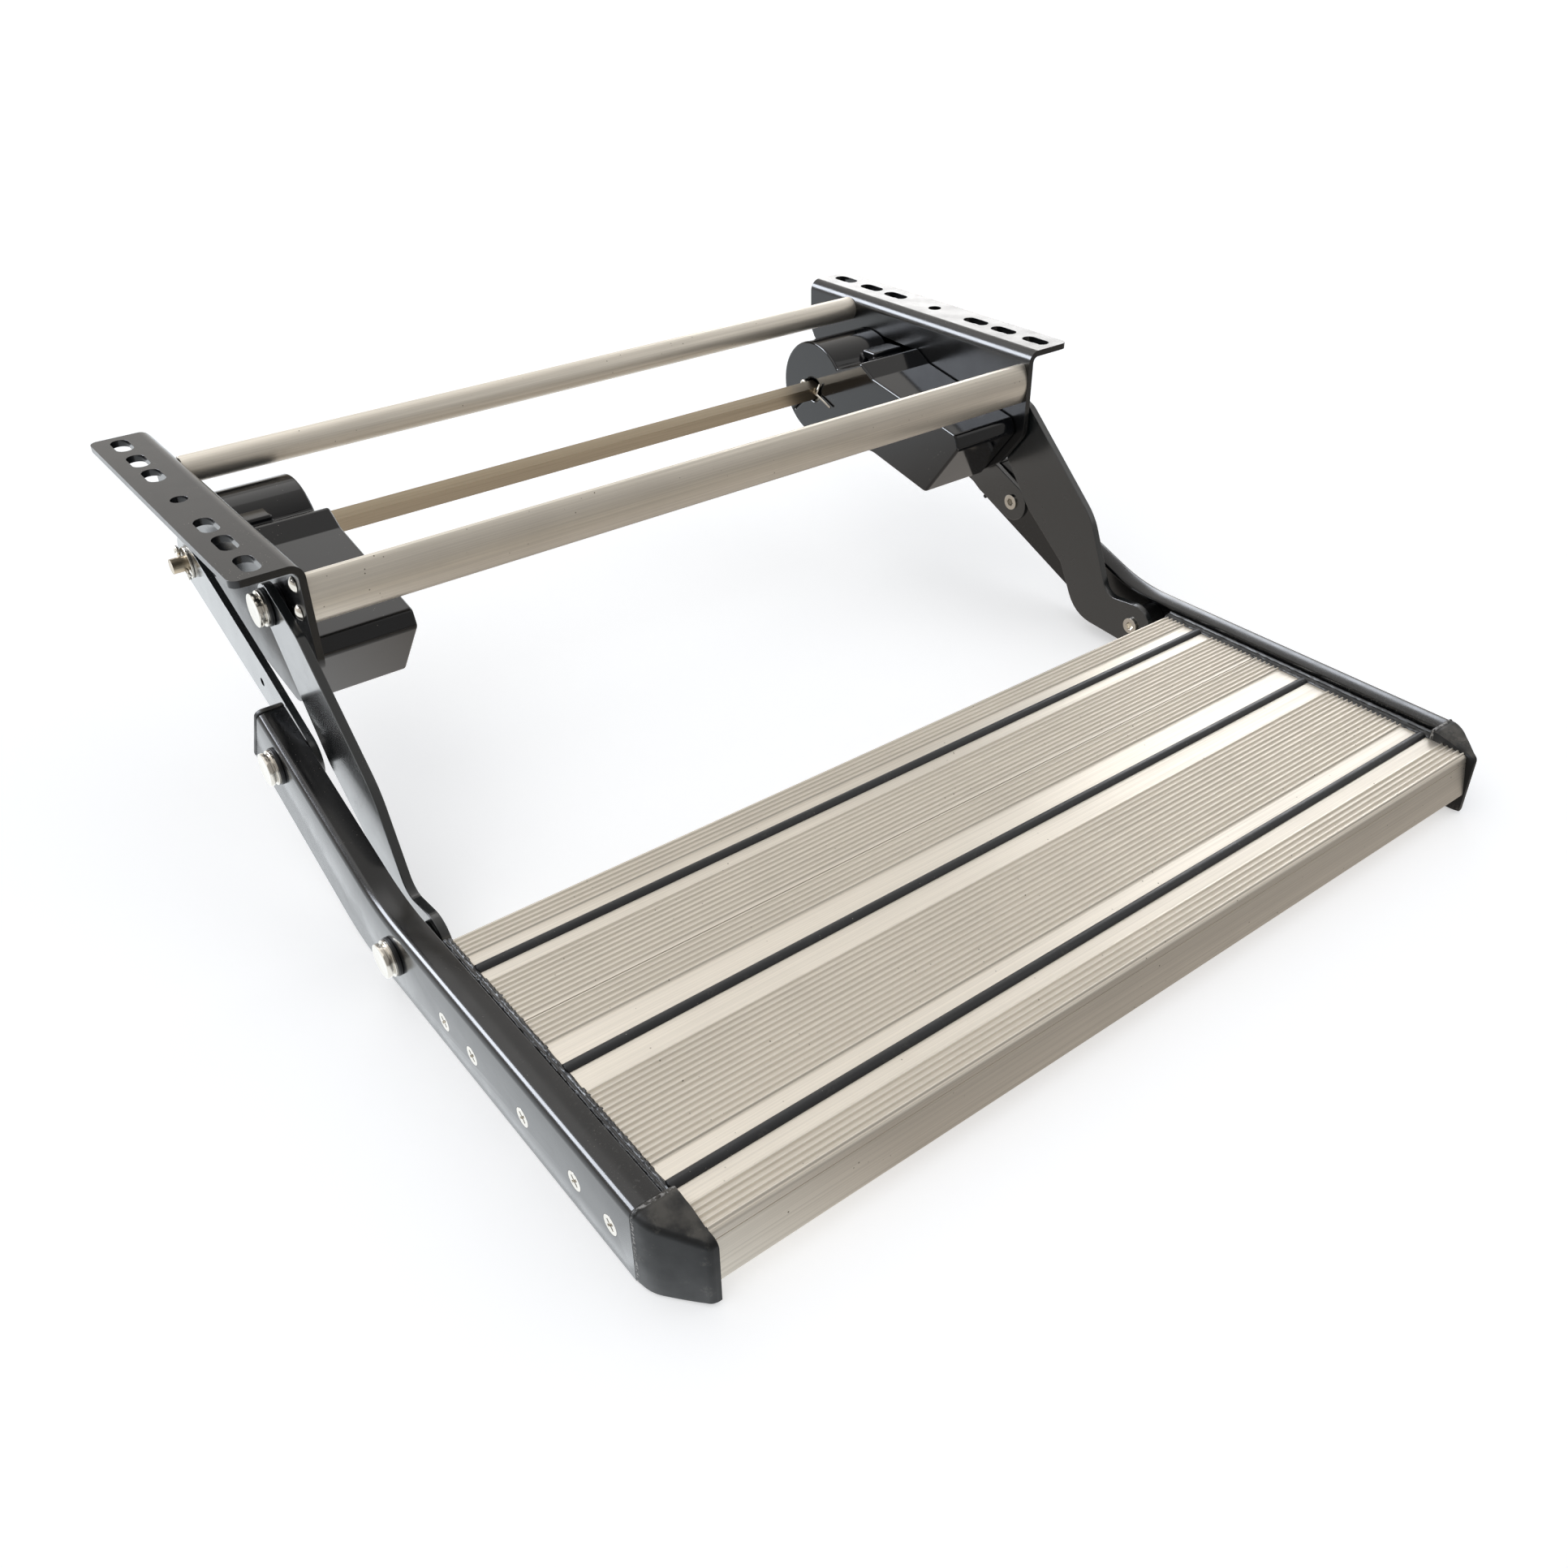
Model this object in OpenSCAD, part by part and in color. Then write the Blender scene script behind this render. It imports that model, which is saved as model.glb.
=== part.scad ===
// Pull-out caravan step: two brackets, four swing links on a sprung shaft and a ribbed tread.
// X runs across the step, Y towards the vehicle and Z up. The origin lies midway between
// the two centre holes, on the top face of the mounting flanges. The step stands open.

/* [Mounting brackets] */
// Distance between the left and the right row of slots
slot_row_spacing = 550; // [440:5:700]
// Length of a bracket, front to rear
bracket_length = 235; // [228:1:260]
// Width of the flange that bolts to the floor
flange_width = 36.5; // [33:0.5:45]
// Distance from the row of slots to the inner face of the bracket's web
row_to_web = 22; // [20:0.5:24]
// Thickness of the bracket's steel plate
bracket_plate = 4; // [3:0.5:4.5]
// Outer radius of the bend between flange and web
bracket_bend = 8; // [6.5:0.5:10]
// Depth of the web's straight front edge
web_front_depth = 57; // [50:1:60]
// Depth of the web's straight rear edge
web_rear_depth = 36; // [30:1:42]
// Width of a slot
slot_width = 10; // [8:0.5:11]
// Length of a slot, end to end
slot_length = 21; // [16:0.5:24]
// Distance of the outer slots from a bracket's ends
slot_end_margin = 16.5; // [14:0.5:20]
// Distance from an outer slot to the middle one
slot_outer_step = 30.5; // [27:0.5:33]
// Distance from a middle slot to the inner one
slot_inner_step = 27.5; // [25:0.5:31]
// Diameter of the round centre hole
centre_hole = 9.3; // [7:0.1:11]

/* [Pivots] */
// Distance of the front link's upper pivot behind the bracket's front end
pivot_setback = 38.5; // [36:0.5:42]
// Depth of the front link's upper pivot below the flange
front_pivot_depth = 36; // [33:0.5:38]
// Distance between the two upper pivots along Y
pivot_span = 125; // [120:1:130]
// How far the shaft lies below the front link's upper pivot
shaft_drop = 20; // [17:0.5:23]
// How far the links reach forward when the step is open
link_reach = 147; // [142:1:152]
// Drop of the front link over its reach
front_link_drop = 126.5; // [122:0.5:132]
// Drop of the rear link over its reach
rear_link_drop = 59; // [56:0.5:62]
// Diameter of the pivot pins
pin_d = 10; // [8:0.5:11]
// Diameter of the pins' round heads
pin_head_d = 18.4; // [17:0.1:20]
// Thickness of the pins' heads
pin_head_t = 3.8; // [3:0.1:5]
// Thickness of a steel washer
steel_washer_t = 1.6; // [1:0.1:2.4]
// Thickness of a nylon washer
nylon_washer_t = 2; // [1.5:0.1:3]
// Diameter of the nuts on the inner ends of the pins
nut_d = 11; // [10.5:0.1:12]

/* [Links] */
// Thickness of the front links
front_link_t = 5; // [4:0.5:5.5]
// Thickness of the rear links
rear_link_t = 4; // [3.5:0.5:5]
// Radius of the front link's upper end
front_link_top_r = 12.5; // [11:0.5:13.5]
// Radius of the front link's foot
front_link_foot_r = 15.5; // [14:0.5:17]
// Edge of the front link's middle, ahead of its pivot line
front_link_front = 18; // [16:0.5:20]
// Edge of the front link's middle, behind its pivot line
front_link_back = 28; // [26:0.5:30]
// Radius of the rear link's upper end
rear_link_top_r = 16; // [14:0.5:17.5]
// Radius of the rear link's lower end
rear_link_end_r = 13.5; // [12:0.5:15]

/* [Cross members and shaft] */
// Diameter of the round rear tube
tube_d = 16.5; // [14:0.5:19]
// Wall of the round rear tube
tube_wall = 2; // [1.5:0.5:3]
// Distance of the rear tube's axis behind the shaft
tube_behind_shaft = 25; // [24:1:34]
// Depth of the rear tube's axis below the flange
tube_depth = 11.4; // [11:0.2:14]
// Height of the front cross bar
bar_height = 26.5; // [25:0.5:28]
// Depth of the bar's upper edge below the flange
bar_top_depth = 9; // [8.5:0.5:10.5]
// How far the bar's arched face stands out of its edges
bar_arch = 4; // [2.5:0.5:5]
// Wall of the bar
bar_wall = 2; // [1.6:0.1:2.6]
// Side of the square shaft
shaft_side = 10; // [9.5:0.5:11]
// Diameter of the shaft's round ends
shaft_end_d = 9; // [7:0.5:9.5]

/* [Spring covers] */
// Length of a spring cover along the shaft
cover_length = 55; // [48:1:70]
// Outer radius of the cover's barrel
barrel_r = 35; // [33.5:0.5:36]
// Wall of the cover
cover_wall = 2.5; // [2:0.1:3]
// Wire of the torsion spring
spring_wire = 5; // [4:0.5:5.5]
// Mean radius of the torsion spring
spring_r = 21; // [19:0.5:22]
// Turns of the torsion spring
spring_turns = 6; // [4:1:6]

/* [Side rails] */
// Height of a rail along the tread
rail_height = 43; // [40:0.5:46]
// Width of the rail's flange
rail_flange = 15.5; // [14:0.5:19]
// Wall of the rail
rail_wall = 3; // [2.5:0.1:3.5]
// Rise of the rail's raised end above the level, in degrees
rail_rise = 21.1; // [20:0.1:22.5]
// How far the rail's lower edge is steeper than its upper one, in degrees
rail_taper = 3.4; // [2.5:0.1:4.5]
// Distance from the rear pivot back to the rail's lower rear corner
rail_tail = 41; // [38:0.5:44]
// Slant of the rail's rear end, in degrees from upright
rail_end_slant = 32; // [28:1:36]

/* [Tread] */
// Depth of the tread from its rear edge to its front edge
tread_depth = 217.5; // [205:0.5:235]
// Height of the tread's rib tops above the front links' lower pivot
tread_above_pivot = 15.9; // [14.5:0.1:17]
// Thickness of the boards, ribs and all
board_t = 27.1; // [25:0.1:30]
// Wall of the boards
board_wall = 1.8; // [1.4:0.1:2.4]
// Depth of the rear board
rear_board_depth = 71.5; // [69:0.5:73]
// Gap between the two boards
board_gap = 0.8; // [0.4:0.1:1.2]
// Height of the ribs
rib_height = 1.2; // [0.8:0.1:1.8]
// Width of a rib
rib_width = 1.2; // [0.9:0.1:1.8]
// Distance from rib to rib
rib_pitch = 3.25; // [3.1:0.05:3.3]
// How far the front face leans out below its upper edge
nose_lean = 4.8; // [3:0.1:6]
// Distance of the rear grip strip from the tread's rear edge
rear_strip_setback = 27.4; // [26:0.2:30]
// Distance of the middle grip strip from the tread's rear edge
middle_strip_setback = 108.8; // [107:0.2:111]
// Distance of the front grip strip from the tread's front edge
front_strip_setback = 28.5; // [27:0.5:30]
// Width of the rubber grip strips
strip_width = 6.4; // [5.2:0.2:8]
// Height of the grip strips above the flats
strip_height = 2.2; // [1.8:0.1:3]
// Width of the dark trim along the ends of the boards
trim_width = 6; // [4:0.5:8]
// Length of the front corner caps in front of the rails
corner_cap_length = 29; // [27:0.5:31]

/* [Hidden] */
$fn = 64;

// Gap between a pin, shaft or bush and its bore
fit_gap = 0.05;
// Gap between flat faces that slide past each other
face_gap = 0.3;
// Gap between the front and the rear links, and between a board's end and the rail
layer_gap = 0.4;
// Gap between the rear links and the rails
rail_gap = 0.8;
// Overlap that joins or cuts cleanly
eps = 0.01;
// How far the ends of a link's edges lie inside the round end that they join
tuck = 0.05;
// Longer than any piece, for shapes that only cut
beyond = 900;
// Straight pieces in each rounded corner of an outline
arc_steps = 6;

// Pivots as [Y, Z]
front_top = [-bracket_length / 2 + pivot_setback, -front_pivot_depth];
rear_top = front_top + [pivot_span, -shaft_drop];
tube_axis = [rear_top.x + tube_behind_shaft, -tube_depth];
front_foot = front_top + [-link_reach, -front_link_drop];
rear_foot = rear_top + [-link_reach, -rear_link_drop];
front_link_length = norm(front_foot - front_top);
rear_link_length = norm(rear_foot - rear_top);
// Turn of the shaft's square about its axis
shaft_turn = 14;

// Layers across the step, as X on the right-hand side
web_in = slot_row_spacing / 2 - row_to_web;
web_out = web_in + bracket_plate;
flange_out = web_in + flange_width;
front_link_in = web_out + nylon_washer_t + face_gap;
front_link_out = front_link_in + front_link_t;
rear_link_in = front_link_out + layer_gap;
rear_link_out = rear_link_in + rear_link_t;
rail_in = rear_link_out + rail_gap;
rail_out = rail_in + rail_flange;
rail_wall_in = rail_out - rail_wall;
board_end = rail_wall_in - layer_gap;
rib_end = rail_in - trim_width;
cover_in = web_in - cover_length;
hole_r = pin_d / 2 + fit_gap;
nut_t = 1.5;
hex_socket_r = 2.9;

// Heights and depths of the tread
tread_top = front_foot.y + tread_above_pivot;
deck = tread_top - rib_height;
board_bottom = tread_top - board_t;
tread_rear = front_foot.x - front_link_foot_r - 7.8;
tread_front = tread_rear - tread_depth;
joint_rear = tread_rear - rear_board_depth;
joint_front = joint_rear - board_gap;
rail_top = tread_top + 4.6;
rail_bottom = rail_top - rail_height;
rail_front = tread_front + 23.8;
rail_rear = rear_foot.x + rail_tail;
top_bend_y = front_foot.x + 11.8;
bottom_bend_y = front_foot.x + 46.7;
top_bend_r = 110;
bottom_bend_r = 90;
port_z = tread_top - 20.4;
port_r = 4.4;
rail_screw_r = 2.2;
rail_screw_head_r = 5;

// Distances of the screws and strips from the tread's rear edge
rear_screws = [29.7, 57.7];
front_screws = [104.7, 148.7, 176.7];
strips = [rear_strip_setback, middle_strip_setback, tread_depth - front_strip_setback];
strip_seat_wall = 2;
strip_neck = 0.75 * strip_width;
strip_foot_h = 1.6;
strip_neck_h = 1.4;
// Distances from each strip to the nearest rib behind it and ahead of it
flats = [[11.7, 11.8], [18.9, 17.9], [13.5, 13.2]];
// Least distance from a rib's centre to a board's edge
rib_margin = 1.3;
// Ribs fill the deck from a flat's edge on, and stop before a board's edge or the next flat
function ribs_behind(i, limit) = [for (d = [strips[i] - flats[i][0]:-rib_pitch:limit]) d];
function ribs_ahead(i, limit) = [for (d = [strips[i] + flats[i][1]:rib_pitch:limit]) d];
rear_ribs = concat(ribs_behind(0, rib_margin), ribs_ahead(0, rear_board_depth - rib_margin));
front_ribs = concat(
    ribs_behind(1, rear_board_depth + board_gap + rib_margin),
    ribs_ahead(1, strips[2] - flats[2][0]),
    ribs_ahead(2, tread_depth - rib_margin));

// Outline points are [Y, Z, corner radius], counter-clockwise
function unit(v) = v / norm(v);
function xy(p) = [p[0], p[1]];
function wrap(p, i) = p[(i + len(p)) % len(p)];
function corner_arc(a, b, c) =
    let (r = b[2], u = unit(xy(a) - xy(b)), w = unit(xy(c) - xy(b)), half = acos(u * w) / 2,
         m = xy(b) + unit(u + w) * r / sin(half), s = xy(b) + u * r / tan(half) - m,
         e = xy(b) + w * r / tan(half) - m, start = atan2(s.y, s.x),
         turn = (atan2(e.y, e.x) - start + 540) % 360 - 180)
    r == 0 ? [xy(b)] : [for (i = [0:arc_steps])
        m + r * [cos(start + turn * i / arc_steps), sin(start + turn * i / arc_steps)]];
function rounded(p) =
    [for (i = [0:len(p) - 1]) each corner_arc(wrap(p, i - 1), p[i], wrap(p, i + 1))];
function inset_corner(a, b, c, w) =
    let (d = unit(xy(b) - xy(a)), g = unit(xy(c) - xy(b)), n = [-d.y, d.x], k = [-g.y, g.x],
         q = xy(b) + (n + k) * w / (1 + n * k), convex = d.x * g.y - d.y * g.x > 0)
    [q.x, q.y, b[2] == 0 ? 0 : max(0, b[2] + (convex ? -w : w))];
function inset(p, w) =
    [for (i = [0:len(p) - 1]) inset_corner(wrap(p, i - 1), p[i], wrap(p, i + 1), w)];

// Extrudes a [Y, Z] shape from X = from to X = to
module plate(from, to) {
    translate([from, 0, 0]) rotate([90, 0, 90]) linear_extrude(to - from) children();
}

// A round bar or bore along X at a [Y, Z] place
module rod(place, from, to, r) {
    plate(from, to) translate(place) circle(r);
}

module ring(place, from, to, outer, inner) {
    plate(from, to) translate(place) difference() {
        circle(outer);
        circle(inner);
    }
}

// Draws its children on the right-hand side, or mirrored on the left
module on_side(side) {
    mirror([side < 0 ? 1 : 0, 0, 0]) children();
}

module both_sides() {
    for (side = [-1, 1]) on_side(side) children();
}

// Where a line from p touches a link's round end of radius r at [along, 0]; way picks the side
function touch(along, r, p, way) =
    let (d = xy(p) - [along, 0], turn = atan2(d.y, d.x) + way * acos(r / norm(d)))
    [along + (r - tuck) * cos(turn), (r - tuck) * sin(turn), 0];

// A corner given along a link and towards its front edge, as [Y, Z, radius]
function on_link(from, to, p) =
    let (u = unit(to - from), q = from + p[0] * u + p[1] * [u.y, -u.x]) [q.x, q.y, p[2]];

module link_outline(from, to, from_r, to_r, corners) {
    translate(from) circle(from_r);
    translate(to) circle(to_r);
    polygon(rounded([for (p = corners) on_link(from, to, p)]));
}

// Brackets
// Web corners below the front pivot and the shaft, as offsets from them, with their radii
web_ahead_of_pivot = [-19, -46.5, 30];
web_below_pivot = [11, -66, 14];
web_ahead_of_shaft = [-26, -32, 30];
web_below_shaft = [12, -28, 20];
web_front_corner_r = 12;
web_rear_corner = [4.5, 7, 6];
function beside(pivot, offset) = [pivot.x + offset[0], pivot.y + offset[1], offset[2]];
web_corners = [
    [-bracket_length / 2, 1, 0],
    [-bracket_length / 2, -web_front_depth, web_front_corner_r],
    beside(front_top, web_ahead_of_pivot),
    beside(front_top, web_below_pivot),
    beside(rear_top, web_ahead_of_shaft),
    beside(rear_top, web_below_shaft),
    [bracket_length / 2 - web_rear_corner[0], -web_rear_depth - web_rear_corner[1], web_rear_corner[2]],
    [bracket_length / 2, -web_rear_depth, web_rear_corner[2]],
    [bracket_length / 2, 1, 0]];
flange_corner_r = 5;
bush_r = 10.5;
bar_screws = [[-bracket_length / 2 + 9.3, -bar_top_depth - 5.4],
              [-bracket_length / 2 + 10.3, -bar_top_depth - bar_height + 5.2]];
bar_screw_r = 2.4;
bar_screw_head_r = 4.6;
bar_screw_head_t = 2.6;
bar_screw_length = 20;

module bracket_profile() {
    translate([web_in + bracket_bend, -bracket_plate])
        square([flange_width - bracket_bend, bracket_plate]);
    translate([web_in, -beyond]) square([bracket_plate, beyond - bracket_bend]);
    translate([web_in + bracket_bend, -bracket_bend]) intersection() {
        difference() {
            circle(bracket_bend);
            circle(bracket_bend - bracket_plate);
        }
        translate([-bracket_bend, 0]) square(bracket_bend);
    }
}

// Distances of the slots from the centre hole
slot_outer = bracket_length / 2 - slot_end_margin;
slot_places = [for (back = [0, slot_outer_step, slot_outer_step + slot_inner_step]) slot_outer - back];

module slot(y) {
    run = (slot_length - slot_width) / 2;
    translate([slot_row_spacing / 2, y, -bracket_plate - 1]) {
        for (end = [-run, run]) translate([0, end, 0]) cylinder(h = bracket_plate + 2, d = slot_width);
        translate([-slot_width / 2, -run, 0]) cube([slot_width, 2 * run, bracket_plate + 2]);
    }
}

module bracket() {
    half = bracket_length / 2;
    color([0.07, 0.07, 0.08]) difference() {
        intersection() {
            translate([0, half, 0]) rotate([90, 0, 0]) linear_extrude(bracket_length) bracket_profile();
            plate(web_in - 1, flange_out + 1) polygon(rounded(web_corners));
            translate([0, 0, -bracket_length]) linear_extrude(bracket_length + 1) polygon(rounded([
                [web_in - 1, -half, 0], [flange_out, -half, flange_corner_r],
                [flange_out, half, flange_corner_r], [web_in - 1, half, 0]]));
        }
        for (y = slot_places, way = [-1, 1]) slot(way * y);
        translate([slot_row_spacing / 2, 0, -bracket_plate - 1])
            cylinder(h = bracket_plate + 2, d = centre_hole);
        rod(front_top, web_in - 1, web_out + 1, hole_r);
        rod(rear_top, web_in - 1, web_out + 1, bush_r + fit_gap);
        rod(spring_anchor, web_in - 1, web_out + 1, anchor_r + fit_gap);
        for (place = bar_screws) rod(place, web_in - 1, web_out + 1, bar_screw_r + fit_gap);
    }
}

// Cross members
module rear_cross_tube() {
    color([0.75, 0.72, 0.66])
        ring(tube_axis, -web_in, web_in, tube_d / 2, tube_d / 2 - tube_wall);
}

// The front bar is an arched wall with two screw ports behind it
bar_front = -bracket_length / 2 + 0.5;
bar_port_r = bar_screw_r + 1.8;
bar_neck_from = 0.65 * bar_arch;
module bar_section() {
    arch_r = (pow(bar_height / 2, 2) + pow(bar_arch, 2)) / (2 * bar_arch);
    middle = -bar_top_depth - bar_height / 2;
    intersection() {
        translate([bar_front, middle - bar_height / 2]) square([bar_height, bar_height]);
        translate([bar_front + arch_r, middle]) difference() {
            circle(arch_r, $fn = 128);
            circle(arch_r - bar_wall, $fn = 128);
        }
    }
    for (place = bar_screws) {
        translate(place) circle(bar_port_r);
        translate([bar_front + bar_neck_from, place.y - bar_wall / 2])
            square([place.x - bar_front - bar_neck_from, bar_wall]);
    }
}

module front_cross_bar() {
    color([0.78, 0.74, 0.68]) plate(-web_in, web_in) difference() {
        bar_section();
        for (place = bar_screws) translate(place) circle(bar_screw_r + fit_gap);
    }
}

// Outline of a low dome of radius r and height h, from its rim to its top
function dome(r, h, steps = 8) =
    let (ball = (r * r + h * h) / (2 * h), rim = asin(r / ball))
    [for (i = [steps:-1:0]) ball * [sin(rim * i / steps), cos(rim * i / steps)] + [0, h - ball]];

module cross_bar_screws() {
    color([0.8, 0.79, 0.77]) both_sides() for (place = bar_screws)
        translate([web_out, place.x, place.y]) rotate([0, 90, 0]) rotate_extrude()
            polygon(concat(dome(bar_screw_head_r, bar_screw_head_t),
                [[0, -bar_screw_length], [bar_screw_r, -bar_screw_length], [bar_screw_r, 0]]));
}

// Spring covers and what they hold
cover_gap = 1.2;
anchor_r = 3;
hub_r = 10.5;
spring_anchor = [front_top.x + 7.4, rear_top.y - spring_r - spring_wire / 2 - face_gap - anchor_r];
// Corners of the cover's nose as offsets from the shaft and from the front pivot, with their radii
nose_shoulder = [0, 16, 0];
nose_slope = [-25.5, 21.3, 0];
nose_crest = [-53.5, 33, 3];
nose_step = [-67, 25.3, 3];
nose_tip = [-28, -11.5, 4];
nose_tip_low = [-31.5, -21, 4];
nose_chin = [-1, -61, 5];
nose_belly = [-68, -28.5, 20];
nose_corners = [
    [rear_top.x, rear_top.y - barrel_r, 0],
    beside(rear_top, nose_shoulder),
    beside(rear_top, nose_slope),
    beside(rear_top, nose_crest),
    beside(rear_top, nose_step),
    beside(front_top, nose_tip),
    beside(front_top, nose_tip_low),
    beside(front_top, nose_chin),
    beside(rear_top, nose_belly)];

module cover_section(shrink) {
    translate(rear_top) circle(barrel_r - shrink);
    polygon(rounded(inset(nose_corners, shrink)));
}

module spring_cover() {
    tab_low = rear_top + [-37, 24];
    color([0.05, 0.05, 0.06]) difference() {
        union() {
            difference() {
                plate(cover_in, web_in) cover_section(0);
                plate(cover_in + cover_wall, web_in + 1) cover_section(cover_wall);
            }
            plate(web_in - 0.5 * cover_length, web_in) translate(tab_low) square([14, 6.5]);
            rod(spring_anchor, cover_in, cover_in + 8, anchor_r + cover_wall);
        }
        rod(rear_top, cover_in - 1, cover_in + cover_wall + 1, 0.75 * shaft_side + cover_gap);
        rod(spring_anchor, cover_in + cover_wall, cover_in + 9, anchor_r + fit_gap);
        plate(cover_in - 1, cover_in + cover_wall + 1) translate(rear_top) rotate(-42)
            translate([0, -0.5]) square([barrel_r - 4, 1]);
    }
}

// Centre line of the torsion spring: shaft-side leg, coil and long leg to the anchor pin
coil_from = cover_in + cover_wall + spring_wire + 1;
coil_to = web_in - spring_wire / 2 - 1;
coil_rings = 12 * spring_turns;
long_leg_end = spring_anchor.x - anchor_r - 4;
coil_start_turn = 270 - 360 * spring_turns;
function on_coil(turn, r) = [rear_top.x + r * cos(turn), rear_top.y + r * sin(turn)];
function spring_path() = concat(
    [for (r = [hub_r + face_gap + 0.1, spring_r - 3])
        let (q = on_coil(coil_start_turn - 8, r)) [coil_from - 1, q.x, q.y]],
    [for (i = [0:coil_rings]) let (q = on_coil(coil_start_turn + 360 * spring_turns * i / coil_rings,
        spring_r)) [coil_from + (coil_to - coil_from) * i / coil_rings, q.x, q.y]],
    [for (y = [rear_top.x - 20, long_leg_end]) [coil_to, y, rear_top.y - spring_r]]);
function ring_frame(path, i) =
    let (last = len(path) - 1, t = unit(path[min(i + 1, last)] - path[max(i - 1, 0)]),
         side = unit(cross(t, [t.x, 0, 0] + [1, 0, 0])), up = cross(t, side))
    [side, up];
function tube_points(path, r, sides) = [for (i = [0:len(path) - 1])
    let (f = ring_frame(path, i)) for (k = [0:sides - 1])
        path[i] + r * (cos(360 * k / sides) * f[0] + sin(360 * k / sides) * f[1])];
function tube_faces(rings, sides) = concat(
    [[for (k = [0:sides - 1]) k]],
    [[for (k = [sides - 1:-1:0]) (rings - 1) * sides + k]],
    [for (i = [0:rings - 2], k = [0:sides - 1]) let (n = (k + 1) % sides)
        each [[i * sides + k, (i + 1) * sides + k, i * sides + n],
              [i * sides + n, (i + 1) * sides + k, (i + 1) * sides + n]]]);

module torsion_spring() {
    path = spring_path();
    echo(spring_turn_gap = (coil_to - coil_from) / spring_turns - spring_wire);
    color([0.35, 0.36, 0.38]) polyhedron(tube_points(path, spring_wire / 2, 8),
        tube_faces(len(path), 8), convexity = 10);
}

module spring_anchor_pins() {
    color([0.2, 0.2, 0.21]) both_sides() rod(spring_anchor, cover_in + cover_wall + 0.2, web_out, anchor_r);
}

module spring_hubs() {
    color([0.85, 0.84, 0.8]) both_sides()
        plate(cover_in + cover_wall + face_gap, web_in - face_gap - 1) translate(rear_top) difference() {
            circle(hub_r);
            rotate(shaft_turn) square(shaft_side + 2 * fit_gap, center = true);
        }
}

// Shaft
split_pin_r = 1.1;
end_washer_t = 1.5;
end_washer_r = 9.5;
end_pin_x = rear_link_out + end_washer_t + split_pin_r + 0.4;
cover_pin_x = cover_in - split_pin_r - 0.6;
shaft_end_x = end_pin_x + 7;

// Turns of the split pins at the shaft's ends and at the covers; 0 is upright with the eye below
end_pin_turn = 126;
cover_pin_turn = shaft_turn + 90;
module across_shaft(x, turn) {
    translate([x, rear_top.x, rear_top.y]) rotate([turn, 0, 0]) children();
}

module square_shaft() {
    color([0.62, 0.58, 0.5]) difference() {
        union() {
            plate(-rear_link_out, rear_link_out) translate(rear_top) rotate(shaft_turn)
                square(shaft_side, center = true);
            rod(rear_top, -shaft_end_x, shaft_end_x, shaft_end_d / 2);
        }
        both_sides() for (pin = [[end_pin_x, end_pin_turn], [cover_pin_x, cover_pin_turn]])
            across_shaft(pin[0], pin[1])
                cylinder(h = 2 * shaft_side, r = split_pin_r + fit_gap, center = true);
    }
}

module shaft_bushes() {
    color([0.1, 0.1, 0.1]) both_sides() difference() {
        union() {
            rod(rear_top, web_in - 0.7, web_out + face_gap + eps, bush_r);
            rod(rear_top, web_out + face_gap, rear_link_in, bush_r + 1.5);
        }
        plate(web_in - 2, rear_link_in + 1) translate(rear_top) rotate(shaft_turn)
            square(shaft_side + 2 * fit_gap, center = true);
    }
}

module shaft_end_washers() {
    color([0.8, 0.79, 0.77]) both_sides()
        ring(rear_top, rear_link_out, rear_link_out + end_washer_t, end_washer_r, shaft_end_d / 2 + fit_gap);
}

// A split pin: round shank with an eye at one end and legs at the other, each [angle, length]
module split_pin(half, legs) {
    eye_r = 2.4;
    cylinder(h = 2 * half, r = split_pin_r, center = true);
    translate([0, 0, -half - eye_r]) rotate([90, 0, 90])
        rotate_extrude($fn = 32) translate([eye_r, 0]) circle(split_pin_r, $fn = 16);
    for (leg = legs) translate([0, 0, half - 1]) rotate([leg[0], 0, 0])
        cylinder(h = leg[1], r = 0.75 * split_pin_r);
}

module shaft_end_split_pins() {
    color([0.8, 0.79, 0.77]) both_sides() across_shaft(end_pin_x, end_pin_turn)
        split_pin(shaft_end_d / 2 + 2, [[-24, 5], [24, 5]]);
}

module cover_split_pins() {
    color([0.8, 0.79, 0.77]) both_sides() across_shaft(cover_pin_x, cover_pin_turn)
        split_pin(shaft_side / 2 + 2.2, [[-80, 9], [6, 17]]);
}

// Links
front_link_heel = [82, -front_link_back - 1, 22];
front_link_hook = [front_link_length - 31, -front_link_back - 14, 26];
front_link_instep = [front_link_length - 27, -6, 11];
front_link_shin = [118, front_link_front, 45];
front_link_knee = [30, front_link_front + 3.5, 16];
front_link_corners = [
    touch(0, front_link_top_r, front_link_knee, 1),
    front_link_knee,
    front_link_shin,
    front_link_instep,
    touch(front_link_length, front_link_foot_r, front_link_instep, -1),
    touch(front_link_length, front_link_foot_r, front_link_hook, 1),
    front_link_hook,
    [front_link_length - 66, -front_link_back, 10],
    front_link_heel,
    touch(0, front_link_top_r, front_link_heel, -1)];

module front_link() {
    color([0.08, 0.08, 0.09]) plate(front_link_in, front_link_out) difference() {
        link_outline(front_top, front_foot, front_link_top_r, front_link_foot_r, front_link_corners);
        for (place = [front_top, front_foot]) translate(place) circle(hole_r);
    }
}

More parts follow.
